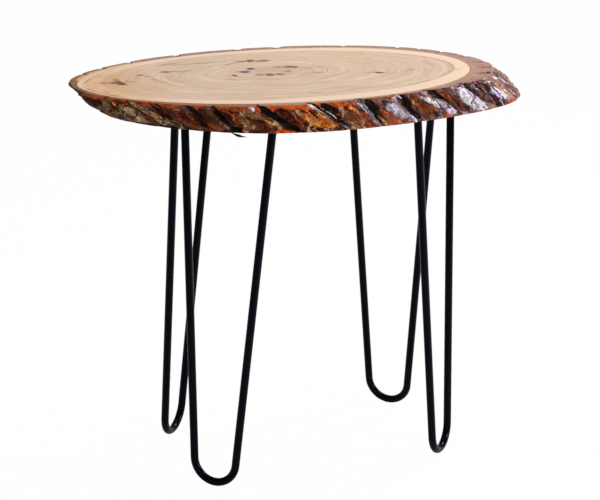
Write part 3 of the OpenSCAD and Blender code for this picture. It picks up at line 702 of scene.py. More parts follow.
        strayed = MM * (1.5 * lumps + 4.5 * fractal(grain + 1, self.STRAY_SCALE, 2))
        before = (a - first) * self.speed(a) + strayed - self.half_width(ridge, a, v)
        after = (last - a) * self.speed(a) + strayed - self.half_width(ridge + 1, a, v)
        slope = smooth(before, 0, bark.bank)
        wall = smooth(before, 0, bark.bank / 2) * smooth(after, 0, bark.lip)
        tongue = self.STRIP_FOOT - self.STRIP_DROOP * (2 * along - 1) ** 2 + 0.06 * lumps
        stripped = 1 - smooth(self.heaviness(a), 0.25, 0.5)
        strip = smooth(v, tongue - 0.03, tongue + 0.02) * stripped
        rough = (1 - strip) * smooth(v, 0, 0.12) * smooth(1 - v, 0, 0.04)

        crest, rise = self.crest(along), self.belly(a, v, tongue)
        size = 1 - self.RIDGE_VARY * (1 - np.sin(number * self.RIDGE_PHASE))
        layer = 0.5 * (1 - near_cell) + 0.35 * crest * rise + 0.45 * lumps
        plates = layer * bark.plates
        treads = np.floor(plates) + smooth(plates - np.floor(plates), 0.6, 1.0)
        tint, cover, pitted, relief = self.patches(a, v + 0 * a, lumps)
        out = wall * slope * rise * bark.ridge_rise * size * crest
        out += wall * rough * (bark.lump * (1.2 * lumps - near_cell + 0.4)
                               + bark.plate_step * (treads - plates) - bark.gap * (1 - scale))
        out -= (1 - wall) * (self.floor_depth(a, v) - rough * bark.flake * flakes)
        out += bark.grit * rough * grit
        out += relief * rough
        place[..., :2] += self.outward(a) * out[..., None]

        bare = 1 - np.array(SKIN_SHARES)[number]
        skin = smooth(along + 0.3 * lumps - bare, -0.1, 0.1) * rough
        marks = {
            "amber": self.amber(a), "ridge": wall, "layer": layer, "scale": scale, "cell": cell,
            "strip": smooth(v, tongue - 0.1, tongue - 0.05) * stripped,
            "skin": skin * wall, "lip": self.lip_highlight(number, after, v, lumps) * rough,
            "height": v + 0 * wall, "across": 0 * wall,
            "tint_red": tint[..., 0], "tint_green": tint[..., 1], "tint_blue": tint[..., 2],
            "cover": cover, "pitted": pitted,
            "near": np.maximum(np.minimum(before, after), 0) / MM}
        for name, side in SIDES.items():
            marks[name] = self.side_share(a, *side)
        return a, place, marks


# What a cell's middle is multiplied by before it takes a number of its own
CELL_SPREAD = 7.3

# The most that a step along a ridge is moved towards the nearer fissure, as a share of the ridge
EASE = 0.08


def cells(points, scale):
    """Rounded cells in space: distance from a cell's middle, from its border, and its own number."""
    flat = points.reshape(-1, 3) * scale
    found = []
    for point in flat:
        gaps, middles = noise.voronoi(Vector(point))
        found.append((gaps[0], gaps[1] - gaps[0], noise.cell(middles[0] * CELL_SPREAD)))
    return np.moveaxis(np.array(found).reshape(*points.shape[:-1], 3), -1, 0)


def eased(share):
    """Share of the way along a ridge, with the steps closer at the fissures."""
    return share - EASE * math.sin(2 * math.pi * share)


def smooth(x, low, high):
    """0 below low, 1 above high and smooth between them, for numbers and arrays."""
    t = np.clip((x - low) / (high - low), 0, 1)
    return t * t * (3 - 2 * t)


def fractal(points, scale, octaves):
    """Noise about nought at each point of an array."""
    flat = points.reshape(-1, 3) * scale
    values = [noise.fractal(Vector(point), 1.0, 2.0, octaves) for point in flat]
    return np.array(values).reshape(points.shape[:-1])


def piece_from(shape, name, material):
    """Makes a bmesh a piece of the table, in its place, and frees the bmesh."""
    mesh = bpy.data.meshes.new(name)
    shape.to_mesh(mesh)
    shape.free()
    for face in mesh.polygons:
        face.use_smooth = True
    made = bpy.data.objects.new(name, mesh)
    bpy.context.scene.collection.objects.link(made)
    mesh.materials.append(material)
    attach(made, "root")
    return made


def dress(node, material):
    """Gives a solid of the frame its finish."""
    mesh = NODES[node].data
    mesh.materials.clear()
    mesh.materials.append(material)


def log_place(finish, sizes, stretch):
    """Object coordinates slid along the log's axis, so that a pattern runs along the grain."""
    x, y, z = finish.split(finish.place())
    drop = (SLAB_HIGH.z - z) * math.tan(sizes.lean)
    return finish.join(x - drop * math.cos(sizes.turn), y - drop * math.sin(sizes.turn), z * stretch)


class BarkFinish(Finish):
    """The bark's finish, from the marks on its mesh and from noise of several sizes"""

    # Scales of the noise and of the cells, for each metre
    BROAD_SCALE = 55.0
    COARSE_SCALE = 150.0
    FINE_SCALE = 460.0
    PIT_SCALE = 260.0
    GRAIN_SCALE = 280.0
    WEB_SCALE = 75.0
    VEIN_SCALE = 110.0
    # Height of the fine relief
    RELIEF = 1.8 * MM

    def __init__(self, bark):
        super().__init__("varnished_bark", Coat_Roughness=0.15, IOR=1.45, Specular_IOR_Level=0.05)
        self.bark = bark
        grain = self.place()
        self.broad = self.noise(grain, self.BROAD_SCALE, 3.0, 0.6)
        self.coarse = self.noise(grain, self.COARSE_SCALE, 5.0, 0.65)
        self.fine = self.noise(grain, self.FINE_SCALE, 4.0, 0.75)
        self.pits = self.noise(grain, self.PIT_SCALE, 4.0, 0.75).rise(0.5, 0.58)
        self.ragged = (self.coarse - 0.5) * 1.2 + (self.fine - 0.5) * 0.8
        x, y, z = self.split(grain)
        self.slant = x + y + z
        self.ridge = self.attribute("ridge")
        self.strip = self.attribute("strip")
        self.right = self.attribute("right")
        self.left = self.attribute("left")
        self.leftward = self.attribute("leftward")
        self.end = self.attribute("end")
        self.across = self.attribute("across")
        self.face = self.across.rise(0.0, 0.02)
        self.grains = self.cells(self.wavy(0.01, 0.006), self.GRAIN_SCALE)
        self.holes = (self.grains + (self.coarse - 0.5) * 0.8).rise(0.42, 0.62)
        self.specks = (1 - self.grains.rise(0.2, 0.4)) * self.fine.rise(0.4, 0.48)

    def wavy(self, coarse, fine):
        """Places whose cells make wavy bands that slant down the side."""
        way = (self.slant + self.coarse * coarse + self.fine * fine) * (1 / 3)
        return self.join(way, way, way)

    def plates(self):
        """Colour of the thin plates that a ridge is layered from, each dark at its foot."""
        bark = self.bark
        band = self.attribute("layer") * bark.plates * 2 + (self.coarse - 0.5) * 1.6
        tread = self.math("FLOOR", band)
        hue = self.node("ShaderNodeTexWhiteNoise", {"noise_dimensions": "1D"},
                        {"W": tread + self.attribute("cell") * 50})
        light = (hue * 0.3 + self.coarse.rise(0.3, 0.7) * 0.35 + self.fine.rise(0.36, 0.64) * 0.4
                 - 0.2 + self.attribute("amber") * 0.3) * (1 - self.left * 0.3)
        tone = self.node("ShaderNodeValToRGB", {"stops": (
            (0.0, bark.hollow), (0.36, bark.body), (0.62, bark.crest), (0.85, bark.glow),
            (1.0, bark.crest))}, {0: light})
        return self.blend((1 - (band - tread).rise(0.0, 0.35)) * 0.8, tone, bark.hollow)

    def skin(self):
        """Where the weathered skin is left on the ridges, and its colour."""
        bark, right, left = self.bark, self.right, self.left
        shown = (self.attribute("skin") + self.ragged * (1 + left)).rise(0.4, 0.6)
        pale = (self.broad + self.ragged * 0.3).rise(0.44, 0.53)
        tone = self.blend(left, bark.skin, bark.lichen)
        # On the right the skin turns plum, and pale in broad patches: pale bloom with a painted
        # highlight
        tone = self.blend(right, tone, self.blend(pale, bark.plum, bark.bloom_and_highlight))
        shade = 0.1 + self.fine.rise(0.36, 0.6) * 0.8 + self.coarse.rise(0.4, 0.65) * 0.5
        tone = self.blend(1 - right * 0.6, tone, self.join(shade, shade, shade), "MULTIPLY")
        web = self.cells(self.wavy(0.012, 0.004), self.WEB_SCALE, "DISTANCE_TO_EDGE")
        tone = self.blend((1 - web.rise(0.01, 0.06)) * right * 0.9, tone, bark.hollow)
        pitted = (1 - pale) * 0.6 + 0.25 + left * 0.3
        return shown, self.blend(self.pits * pitted, tone, bark.hollow)

    def side(self, skin, skin_tone):
        """Colour of the side: plates and skin on the ridges, fissures and the smooth strip."""
        bark, right, left, strip = self.bark, self.right, self.left, self.strip
        tone = self.blend(skin, self.plates(), skin_tone)
        tone = self.blend(right.rise(0.4, 1.0) * 0.7, tone,
                          self.blend(self.fine, bark.hollow, bark.plum))
        # Painted highlight: the pale edge along each ridge's right end, where it catches the light
        lip = self.attribute("lip") * (self.coarse + self.fine).rise(0.75, 1.0)
        tone = self.blend(lip, tone, bark.bloom_and_highlight)
        gaps = (1 - self.attribute("scale")) * (1 - skin * 0.6) * 0.9
        tone = self.blend(gaps, tone, bark.hollow)
        # Painted shade as well as their own dark floor: the fissures and the foot of their sides take
        # the near-black fissure colour, tan at the right end
        tone = self.blend((1 - self.ridge).rise(0.1, 0.6) * (1 - left * 0.5), tone,
                          self.blend(self.end, bark.fissure, bark.tan))
        strip_tone = self.blend(self.coarse.rise(0.35, 0.7), bark.strip, bark.strip_dark)
        strip_tone = self.blend(self.leftward.rise(0.5, 1.0) * self.broad.rise(0.4, 0.6) * 0.9,
                                strip_tone, bark.body)
        tone = self.blend(strip * self.ridge.rise(0.1, 0.5), tone, strip_tone)
        foot = (1 - self.attribute("height").rise(0.03, 0.08)) * (1 - self.face) * (1 - left)
        tone = self.blend(foot * self.broad.rise(0.4, 0.7) * 0.6, tone, bark.strip)
        tone = self.blend(self.holes * (1 - strip) * (1 - right) * 0.8, tone, bark.hollow)
        specks = self.specks * (1 - strip) * (0.3 + self.ridge * 0.7) * (1 - right * 0.6) * 0.8
        return self.blend(specks, tone, bark.speck)

    def patch(self, pitted):
        """Colour of the patches, with their grain, pits, specks and veins."""
        bark, right, coarse = self.bark, self.right, self.coarse
        tone = self.join(*(self.attribute(f"tint_{name}") for name in ("red", "green", "blue")))
        light = 0.34 + self.fine.rise(0.4, 0.6) * 0.95 + coarse.rise(0.38, 0.62) * 0.45
        warm = self.join(light, light * (0.8 + coarse * 0.3), light * (0.7 + coarse * 0.45))
        tone = self.blend(1.0, tone, warm, "MULTIPLY")
        tone = self.blend(self.holes * pitted * 0.95, tone, bark.hollow)
        # On the right the specks take the pale bloom colour, with its painted highlight
        tone = self.blend(self.specks * pitted * 0.95, tone, self.blend(right, bark.speck, bark.bloom_and_highlight))
        veins = self.cells(self.wavy(0.01, 0.006), self.VEIN_SCALE, "DISTANCE_TO_EDGE")
        tone = self.blend((1 - veins.rise(0.02, 0.09)) * (0.3 + pitted * 0.6), tone, bark.hollow)
        sheen = self.blend(self.broad.rise(0.4, 0.6), bark.lilac, bark.ice)
        palest = self.attribute("tint_blue").rise(0.1, 0.5)
        return self.blend(right * palest * 0.8, tone, sheen, "MULTIPLY")

    def cut(self):
        """Colour of the sanded cut face, with its layers and cracks."""
        bark, coarse, across, end = self.bark, self.coarse, self.across, self.end
        tone = self.blend((self.leftward + coarse - 0.5).rise(0.3, 0.7), bark.cut_face, bark.cut_warm)
        tone = self.blend((coarse * 0.7 + self.fine * 0.5).rise(0.45, 0.85) * 0.8, tone, bark.cut_dark)
        layers = (across * 55.0 + coarse * 6.0).sine().rise(-0.2, 0.9) * (1 - across.rise(0.25, 0.6))
        tone = self.blend(layers * (1 - end * 0.8) * 0.8, tone, bark.cut_dark)
        tone = self.blend(across.rise(0.8, 0.97) * 0.2 * (1 - end), tone, bark.strip)
        tone = self.blend((across + coarse * 0.3).rise(0.75, 1.1) * end * 0.8, tone, bark.tan)
        tip = self.attribute("tip")
        tone = self.blend(tip * 0.85, tone, self.blend(coarse, bark.cut_grey, bark.cut_dark))
        outer = 1 - (across + (coarse - 0.5) * 0.3).rise(0.15, 0.4)
        tone = self.blend(tip * outer, tone, bark.hollow)
        thin = (self.attribute("thin") * (across + (coarse - 0.5) * 0.4)).rise(0.4, 0.52)
        tone = self.blend(thin, tone, self.blend(self.fine, bark.tan, bark.sapwood))
        return self.blend(self.attribute("crack"), tone, bark.fissure)

    def varnish(self):
        """Puts the colours together and gives the bark its fine relief and its varnish."""
        skin, skin_tone = self.skin()
        pitted = self.attribute("pitted")
        cover = (self.attribute("cover") + self.ragged * 0.7).rise(0.38, 0.62)
        tone = self.blend(cover, self.side(skin, skin_tone), self.patch(pitted))
        tone = self.blend(self.face, tone, self.cut())
        relief = self.coarse * 0.9 + self.fine * 0.6 - self.grains * pitted * cover * 0.7
        smoothed = (1 - self.face * 0.85) * (1 - self.strip * (1 - cover) * 0.8)
        self.bump(relief * smoothed, self.RELIEF)
        gloss = 0.06 + (skin + self.right) * (1 - cover * 0.7) * 0.25
        return self.paint(Base_Color=tone, Roughness=0.4 + 0.25 * self.fine + 0.2 * self.face,
                          Coat_Weight=(1 - self.face) * gloss)


class TABLE_OT_bark(bpy.types.Operator):
    """Model the ring of bark with its ridges and fissures"""

    bl_idname = "side_table.bark"
    bl_label = "Bark"

    def execute(self, context):
        bark = context.scene.side_table_bark
        places, marks = bark_rows(Slice(context.scene.side_table_slice, bark))
        rows, columns = places.shape[:2]
        shape = bmesh.new()
        bmesh.ops.create_grid(shape, x_segments=columns, y_segments=rows, size=0.5)
        layers = {name: shape.verts.layers.float.new(name) for name in marks}
        for vert in shape.verts:
            column = round((vert.co.x + 0.5) * columns) % columns
            row = round((vert.co.y + 0.5) * rows) % rows
            vert.co = places[row, column]
            for name, layer in layers.items():
                vert[layer] = marks[name][row, column]
        bmesh.ops.remove_doubles(shape, verts=shape.verts, dist=0.001 * MM)
        bmesh.ops.recalc_face_normals(shape, faces=shape.faces)
        made = piece_from(shape, "bark_ring", BarkFinish(bark).varnish())
        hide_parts("bark")
        return {"FINISHED"}


# Rows of points up the bark's side, in over its top and out again under its bottom
SIDE_ROWS = 45
TOP_ROWS = 13
BOTTOM_ROWS = 7

# How far the bark's flat faces sink at the wood, and how far they reach in under it
SINK = 0.1 * MM
TUCK = 0.5 * MM

# How far beside its fissure a crack in a flat face fades out, in millimetres; the share of the
# bark's width that the shortest crack crosses, how much more the longest does, and the turn of the
# wave between these from one crack to the next, in radians
CRACK_FADE = 0.9
CRACK_SHORTEST = 0.3
CRACK_VARY = 0.4
CRACK_PHASE = 2.1


def bark_rows(cut):
    """Rows of points round the bark's section, and the marks at each: up the side, in over the
    top and back out under the bottom."""
    bark = cut.bark
    ridge, along = cut.columns(bark.pitch)
    heights = np.linspace(0, 1, SIDE_ROWS)[:, None]
    a, side, marks = cut.rim(ridge[None, :], along[None, :], heights)
    rows = [side]
    kept = {name: [values] for name, values in marks.items()}
    kept["crack"] = [0 * marks["near"]]
    number = ridge % len(FISSURES)
    for row, level, sink, shares in ((-1, 1, -SINK, np.linspace(0, 1, TOP_ROWS)[1:]),
                                     (0, 0, SINK, np.linspace(1, 0, BOTTOM_ROWS)[:-1])):
        inner = cut.wood_edge(a[row], level, TUCK)
        across = shares[:, None]
        vary = np.abs(np.sin(number * CRACK_PHASE + (along > 0.5)))
        deep = CRACK_SHORTEST + CRACK_VARY * vary
        beside = np.exp(-(marks["near"][row] / CRACK_FADE) ** 2)
        crack = beside * (1 - smooth(across, deep - 0.2, deep))
        flat = side[row] + (inner - side[row]) * across[..., None]
        flat[..., 2] += sink * across - (2 * level - 1) * bark.crack * crack
        rows.append(flat)
        for name, values in kept.items():
            values.append(0 * crack + marks[name][row] if name in marks else crack)
        kept["across"][-1] = across + 0 * crack
    return np.concatenate(rows), {name: np.concatenate(parts) for name, parts in kept.items()}


class TABLE_OT_splinter(bpy.types.Operator):
    """Model the splinter of bark that hangs loose under the front edge"""

    bl_idname = "side_table.splinter"
    bl_label = "Splinter"

    # Ridge and share along its foot where the splinter hangs
    RIDGE = 4
    ALONG = 0.75
    # Points round the splinter and along it
    ROUND = 10
    STEPS = 14

    def execute(self, context):
        bark = context.scene.side_table_bark
        cut = Slice(context.scene.side_table_slice, bark)
        foot = cut.rim(np.array([[self.RIDGE]]), np.array([[self.ALONG]]), np.zeros((1, 1)))[1]
        root = Vector(foot[0, 0]) + Vector((0, 1, 1)) * MM
        reach = Vector(bark.splinter_reach)
        side = reach.cross(Vector((0, 0, 1))).normalized()
        up = side.cross(reach).normalized()
        shape = bmesh.new()
        bmesh.ops.create_grid(shape, x_segments=self.ROUND, y_segments=self.STEPS, size=0.5)
        for vert in shape.verts:
            turn = 2 * math.pi * vert.co.x
            share = vert.co.y + 0.5
            girth = 0.15 + math.sin(math.pi * share ** 1.15) ** 1.5
            radius = bark.splinter_thick / 2 * girth * (1 + 0.15 * math.sin(9 * share + 2 * turn))
            droop = up * math.sin(math.pi * share) * bark.splinter_thick * 0.4
            vert.co = (root + reach * share - droop
                       + radius * (side * math.cos(turn) + up * 0.7 * math.sin(turn)))
        bmesh.ops.remove_doubles(shape, verts=shape.verts, dist=0.01 * MM)
        bmesh.ops.holes_fill(shape, edges=shape.edges)
        bmesh.ops.recalc_face_normals(shape, faces=shape.faces)
        piece_from(shape, "bark_splinter", BarkFinish(bark).varnish())
        return {"FINISHED"}


class Streak(NamedTuple):
    """A knot, a streak or a stain in the top as the photo shows it: its two ends, in pixels from the
    frame's top left corner, its thickness down the frame in pixels, and its strength"""

    first_x: float
    first_y: float
    last_x: float
    last_y: float
    thick: float
    strength: float


BROWN_STREAKS = (
    # The knot at the left end
    Streak(99, 83.3, 108, 82.8, 1.6, 0.6),
    Streak(107, 82.6, 122, 83.6, 2, 0.9),
    Streak(113, 79.5, 128, 85.8, 2.4, 1),
    Streak(116, 83, 127, 85, 2.6, 1),
    Streak(124, 81, 135, 82.5, 1.4, 0.5),
    Streak(112, 80, 120, 79, 1.2, 0.5),
    # The dashes between that knot and the pith
    Streak(135, 75.4, 146, 75.2, 1.3, 0.7),
    Streak(144, 76, 151, 77, 1.6, 0.4),
    Streak(159, 72.5, 172, 71.7, 1.8, 0.8),
    Streak(168, 71.6, 184, 71.8, 1, 0.5),
    Streak(174.5, 71.3, 195.5, 70.6, 0.7, 0.35),
    Streak(205.6, 74.6, 207.4, 74.7, 0.7, 0.5),
    # The crack behind the pith
    Streak(221, 66, 238, 62.2, 1.1, 0.45),
    Streak(234, 62.4, 248, 60.8, 1.3, 0.8),
    Streak(245, 60.3, 255, 61.2, 2.2, 1),
    Streak(253, 61.2, 271, 60.6, 1.5, 0.85),
    Streak(261, 60.4, 269, 60.6, 1.6, 0.7),
    # The brown line in front of the pith
    Streak(232, 75.6, 237, 75.2, 1.8, 1),
    Streak(254, 75.2, 268, 74.6, 1.6, 0.6),
    Streak(264, 75, 276, 74.6, 2.2, 0.9),
    Streak(273, 74.2, 285, 74.2, 1.8, 0.8),
    Streak(283, 72.6, 292, 70.6, 1.6, 0.6),
    # The line to the right of the pith, and the lens-shaped ring that it ends in
    Streak(272, 67.4, 286, 66.8, 1.3, 0.5),
    Streak(282, 66.8, 300, 67.2, 2, 0.9),
    Streak(298, 67.4, 314, 68.4, 1.2, 0.45),
    Streak(312, 67, 328, 66.8, 0.8, 0.35),
    Streak(328, 67.5, 327, 71.5, 0.8, 0.4),
    Streak(312, 72.4, 326, 72.6, 1, 0.45),
    Streak(311, 70, 314, 72.6, 0.8, 0.35),
    # Faint arcs of rings near the pith
    Streak(224, 79, 240, 80.2, 1, 0.35),
    Streak(229, 75, 240, 77, 1, 0.3),
    Streak(300, 74, 318, 72, 1, 0.3),
    # Parts of the rings at the left
    Streak(83, 87.4, 100, 93.2, 1, 0.7),
    Streak(98, 92.6, 124, 97.4, 1, 0.6),
    Streak(82, 85, 92, 78, 1.2, 0.5),
    Streak(90, 79, 104, 73.5, 1, 0.3),
    Streak(150, 78, 176, 86, 1.4, 0.35),
    Streak(155, 66, 180, 62.5, 1.4, 0.35),
    # The knot at the right, the line through it and the marks beyond it
    Streak(372.5, 72.5, 385.2, 72.5, 1.4, 1),
    Streak(353.5, 72.3, 398, 72.5, 0.4, 0.4),
    Streak(407.6, 69.9, 414.5, 69.2, 1.05, 0.55),
    Streak(424, 60.5, 434, 66.2, 4.2, 0.18),
    Streak(453, 69.3, 463.3, 69.3, 0.4, 0.5),
    # Lone marks at the back and the front
    Streak(364, 57.9, 372, 57.8, 0.7, 0.35),
    Streak(304, 92.8, 321.5, 92.4, 0.8, 0.4),
    Streak(165, 65.5, 227, 61.7, 0.95, 0.4),
)
VIOLET_STREAKS = (
    Streak(245.5, 69, 255.5, 68.8, 1.6, 1),
    Streak(236, 72, 252, 71.8, 1.6, 1),
)

# Where the eye sees a fading mark's end and its edge, as shares of its half length and half width,
# and the least that these may be
SEEN_LONG = 0.8
SEEN_WIDE = 0.62
LEAST_LONG = 3 * MM
LEAST_WIDE = 2 * MM

# Share of the way from a mark's middle to its end at which it begins to fade
FADE_FROM = 0.35


def camera_turns(turn, tip, roll):
    """The turns, in radians, of a camera that would else look along +Y, level and upright."""
    return (Matrix.Rotation(-turn, 4, "Z") @ Matrix.Rotation(math.pi / 2 - tip, 4, "X")
            @ Matrix.Rotation(roll, 4, "Z"))


def photo_point(x, y):
    """The place in plan on the slab's top that the photo shows at a pixel."""
    focal = LENS / SENSOR * PHOTO_WIDE
    turns = camera_turns(*map(math.radians, (CAMERA_TURN, CAMERA_TIP, CAMERA_ROLL)))
    ray = turns @ Vector(((x - PHOTO_WIDE / 2) / focal, (PHOTO_HIGH / 2 - y) / focal, -1))
    place = Vector(CAMERA_PLACE)
    return (place + ray * (SLAB_HIGH.z - place.z) / ray.z).xy


def mark_shape(streak):
    """Middle, half length, half width and turn of a streak on the slab's top."""
    first = photo_point(streak.first_x, streak.first_y)
    last = photo_point(streak.last_x, streak.last_y)
    run = last - first
    middle_x = (streak.first_x + streak.last_x) / 2
    middle_y = (streak.first_y + streak.last_y) / 2
    over = (photo_point(middle_x, middle_y + streak.thick / 2)
            - photo_point(middle_x, middle_y - streak.thick / 2))
    wide = abs(over.cross(run.normalized()))
    return ((first + last) / 2, max(run.length / 2 / SEEN_LONG, LEAST_LONG),
            max(wide / 2 / SEEN_WIDE, LEAST_WIDE), math.atan2(run.y, run.x))


def mark_mask(finish, x, y, streaks, ragged):
    """How strongly any of the streaks shows, at each place of the top."""
    place = finish.join(x, y, 0.0)
    shown = 0.0
    for streak in streaks:
        middle, half_long, half_wide, turn = mark_shape(streak)
        near = finish.node("ShaderNodeMapping", {"vector_type": "TEXTURE"}, {
            "Vector": place, "Location": (*middle, 0.0), "Rotation": (0.0, 0.0, turn),
            "Scale": (half_long, half_wide, 1.0)})
        far = finish.node("ShaderNodeVectorMath", {"operation": "LENGTH"}, {0: near}, "Value")
        spot = (1 - (far + ragged).rise(FADE_FROM, 1.0)) * streak.strength
        shown = spot if shown == 0.0 else shown.most(spot)
    return shown


# Scales of the wood's patterns, for each metre: the rings' wobble, the fibres, the pores, the breaks
# in the rings and the ragged edges of the marks; and the scale of its streaks, from pith to bark
WOBBLE_SCALE = 11.0
FIBRE_SCALE = 90.0
PORE_SCALE = 420.0
BREAK_SCALE = 22.0
RAGGED_SCALE = 130.0
STREAK_SCALE = 16.0


def wood_finish(sizes, wood):
    """Growth rings round the pith, sapwood inside the bark, and the marks, on the sanded wood."""
    finish = Finish("sanded_wood", IOR=1.45, Specular_IOR_Level=0.35)
    x, y, z = finish.split(log_place(finish, sizes, 0.3))
    half_long = sizes.long / 2 - sizes.bark_end
    half_wide = sizes.wide / 2 - sizes.bark_side
    centre = wood_centre(sizes)
    wobble = finish.noise(finish.join(x, y * 1.6, z), WOBBLE_SCALE, 3.0, 0.5) - 0.5
    u = (x - wood.pith_x) * (1 / half_long)
    w = (y - wood.pith_y) * (1 / half_wide)
    du = (centre.x - wood.pith_x) / half_long
    dw = (centre.y - wood.pith_y) / half_wide
    along = u * du + w * dw
    keep = 1 - du * du - dw * dw
    ring = ((along * along + (u * u + w * w) * keep).root() - along) * (1 / keep)
    true_ring = ring
    ring = ring + wobble * (1 - ring.rise(0.6, 0.95)) * 0.16
    count = ring * wood.rings
    uneven = finish.noise(finish.join(count * 0.4, 0.0, 0.0), 1.0, 3.0, 0.7)
    wave = (count * 2 * math.pi + uneven * 9.0).sine() * 0.5 + 0.5
    fibre = finish.noise(finish.join(x, y * 5, z), FIBRE_SCALE, 5.0, 0.65)
    streak = finish.noise(finish.join(ring * 1.3, x * 0.9, y * 0.5), STREAK_SCALE, 5.0, 0.7)
    pores = finish.noise(finish.join(x, y * 4, z), PORE_SCALE, 4.0, 0.7)
    broken = finish.noise(finish.join(x, y * 1.5, z), BREAK_SCALE, 3.0, 0.6).rise(0.4, 0.62)
    arcs = wave ** 2.0 * uneven.rise(0.3, 0.7) * (0.15 + broken * 1.1) * (0.4 + fibre * 0.9)
    tone = finish.blend((arcs + fibre.rise(0.5, 0.75)) * 0.55, wood.heart, wood.band)
    tone = finish.blend(streak.rise(0.5, 0.68) * (0.25 + fibre * 0.5) * 0.95, tone, wood.band)
    tone = finish.blend((1 - streak.rise(0.32, 0.48)) * 0.75, tone, wood.sap)
    border = wood.sapwood + x.rise(0.1, 0.22) * 0.045
    inside = true_ring + wobble * 0.03 - border
    tone = finish.blend(inside.rise(-0.01, 0.012) * 0.9, tone, wood.sap)
    heart_line = inside.rise(-0.03, -0.004) * (1 - inside.rise(-0.002, 0.008))
    tone = finish.blend(heart_line * x.rise(0.0, 0.14) * fibre.rise(0.3, 0.55) * 0.8, tone, wood.band)
    honey = 1 - x.rise(-0.27, -0.15)
    tone = finish.blend(honey * (0.3 + fibre.rise(0.35, 0.65) * 0.65), tone, wood.honey)
    rim_line = true_ring.rise(0.965, 0.98) * honey
    tone = finish.blend(rim_line * 0.5, tone, wood.sap)
    ragged = (finish.noise(finish.join(x, y * 2, z), RAGGED_SCALE, 4.0, 0.7) - 0.5) * 1.5
    near_pith = 1 - ring.rise(0.05, 0.3)
    tone = finish.blend(near_pith * fibre.rise(0.35, 0.65) * 0.4, tone, wood.band)
    tone = finish.blend(mark_mask(finish, x, y, BROWN_STREAKS, ragged) * 0.92, tone, wood.brown)
    tone = finish.blend(mark_mask(finish, x, y, VIOLET_STREAKS, ragged), tone, wood.violet)
    tone = finish.blend(pores.rise(0.45, 0.8) * 0.25, tone, wood.band)
    finish.bump(pores, 0.15 * MM, 0.4)
    return finish.paint(Base_Color=tone, Roughness=0.46 + 0.12 * pores)


def wood_centre(sizes):
    """Middle of the wood's top edge in plan."""
    cut = Slice(sizes, bpy.context.scene.side_table_bark)
    right, left = cut.wood_edge(0, 1), cut.wood_edge(math.pi, 1)
    back, front = cut.wood_edge(math.pi / 2, 1), cut.wood_edge(-math.pi / 2, 1)
    return Vector(((right[0] + left[0]) / 2, (back[1] + front[1]) / 2))


class TABLE_OT_wood(bpy.types.Operator):
    """Give the slab's wood its growth rings, stains and satin varnish"""

    bl_idname = "side_table.wood"
    bl_label = "Wood"

    def execute(self, context):
        dress("wood_slab", wood_finish(context.scene.side_table_slice, context.scene.side_table_wood))
        return {"FINISHED"}


# Scale of the coat's orange peel and of the screws' wear, for each metre
PEEL_SCALE = 700.0


def coat_finish(steel):
    finish = Finish("black_powder_coat", IOR=1.5, Specular_IOR_Level=0.1,
                    Specular_Tint=(*steel.sheen, 1.0))
    orange_peel = finish.noise(finish.place(), PEEL_SCALE, 2.0, 0.5)
    finish.bump(orange_peel, 0.03 * MM, 0.4)
    return finish.paint(Base_Color=steel.coat, Roughness=0.13 + 0.08 * orange_peel)


def screw_finish(steel):
    finish = Finish("black_oxide_screw", Metallic=0.6, IOR=1.5)
    wear = finish.noise(finish.place(), PEEL_SCALE, 3.0, 0.6)
    return finish.paint(Base_Color=steel.screw, Roughness=0.35 + 0.2 * wear)


class TABLE_OT_legs(bpy.types.Operator):
    """Coat the rods, plates and welds of the legs"""

    bl_idname = "side_table.legs"
    bl_label = "Legs"

    def execute(self, context):
        coat = coat_finish(context.scene.side_table_steel)
        for corner in CORNERS:
            for part in ("rod", "plate", "welds"):
                dress(f"leg_{part}_{corner}", coat)
        return {"FINISHED"}


class TABLE_OT_screws(bpy.types.Operator):
    """Finish the screws that hold the plates"""

    bl_idname = "side_table.screws"
    bl_label = "Screws"

    def execute(self, context):
        oxide = screw_finish(context.scene.side_table_steel)
        for corner in CORNERS:
            dress(f"leg_screws_{corner}", oxide)
        return {"FINISHED"}


def soft_lamp(name, place, aim, size, power, tint=(1.0, 1.0, 1.0)):
    light = bpy.data.lights.new(name, "AREA")
    light.shape = "RECTANGLE"
    light.size, light.size_y = size
    light.energy = power
    light.color = tint
    lamp = bpy.data.objects.new(name, light)
    bpy.context.scene.collection.objects.link(lamp)
    lamp.location = place
    lamp.rotation_euler = (Vector(aim) - Vector(place)).to_track_quat("-Z", "Y").to_euler()


def white_for_camera(tree, plain, glow):
    """Changes a plain shader for another where the camera looks straight at it."""
    path = tree.nodes.new("ShaderNodeLightPath")
    mix = tree.nodes.new("ShaderNodeMixShader")
    tree.links.new(path.outputs["Is Camera Ray"], mix.inputs[0])
    tree.links.new(plain, mix.inputs[1])
    tree.links.new(glow, mix.inputs[2])
    return mix.outputs[0]


def floor_finish(stage):
    material = bpy.data.materials.new("pale_floor")
    material.use_nodes = True
    tree = material.node_tree
    tree.nodes.clear()
    plain = tree.nodes.new("ShaderNodeBsdfDiffuse")
    plain.inputs["Color"].default_value = (*stage.floor, 1.0)
    glow = tree.nodes.new("ShaderNodeEmission")
    both = tree.nodes.new("ShaderNodeMixShader")
    both.inputs[0].default_value = stage.glow
    tree.links.new(plain.outputs[0], both.inputs[1])
    tree.links.new(glow.outputs[0], both.inputs[2])
    output = tree.nodes.new("ShaderNodeOutputMaterial")
    shown = white_for_camera(tree, plain.outputs[0], both.outputs[0])
    tree.links.new(shown, output.inputs["Surface"])
    return material


# Half width of the floor, how far the camera sees, and the strength of the light from all round
FLOOR_HALF = 8.0
SIGHT = 50.0
DAYLIGHT = 0.22


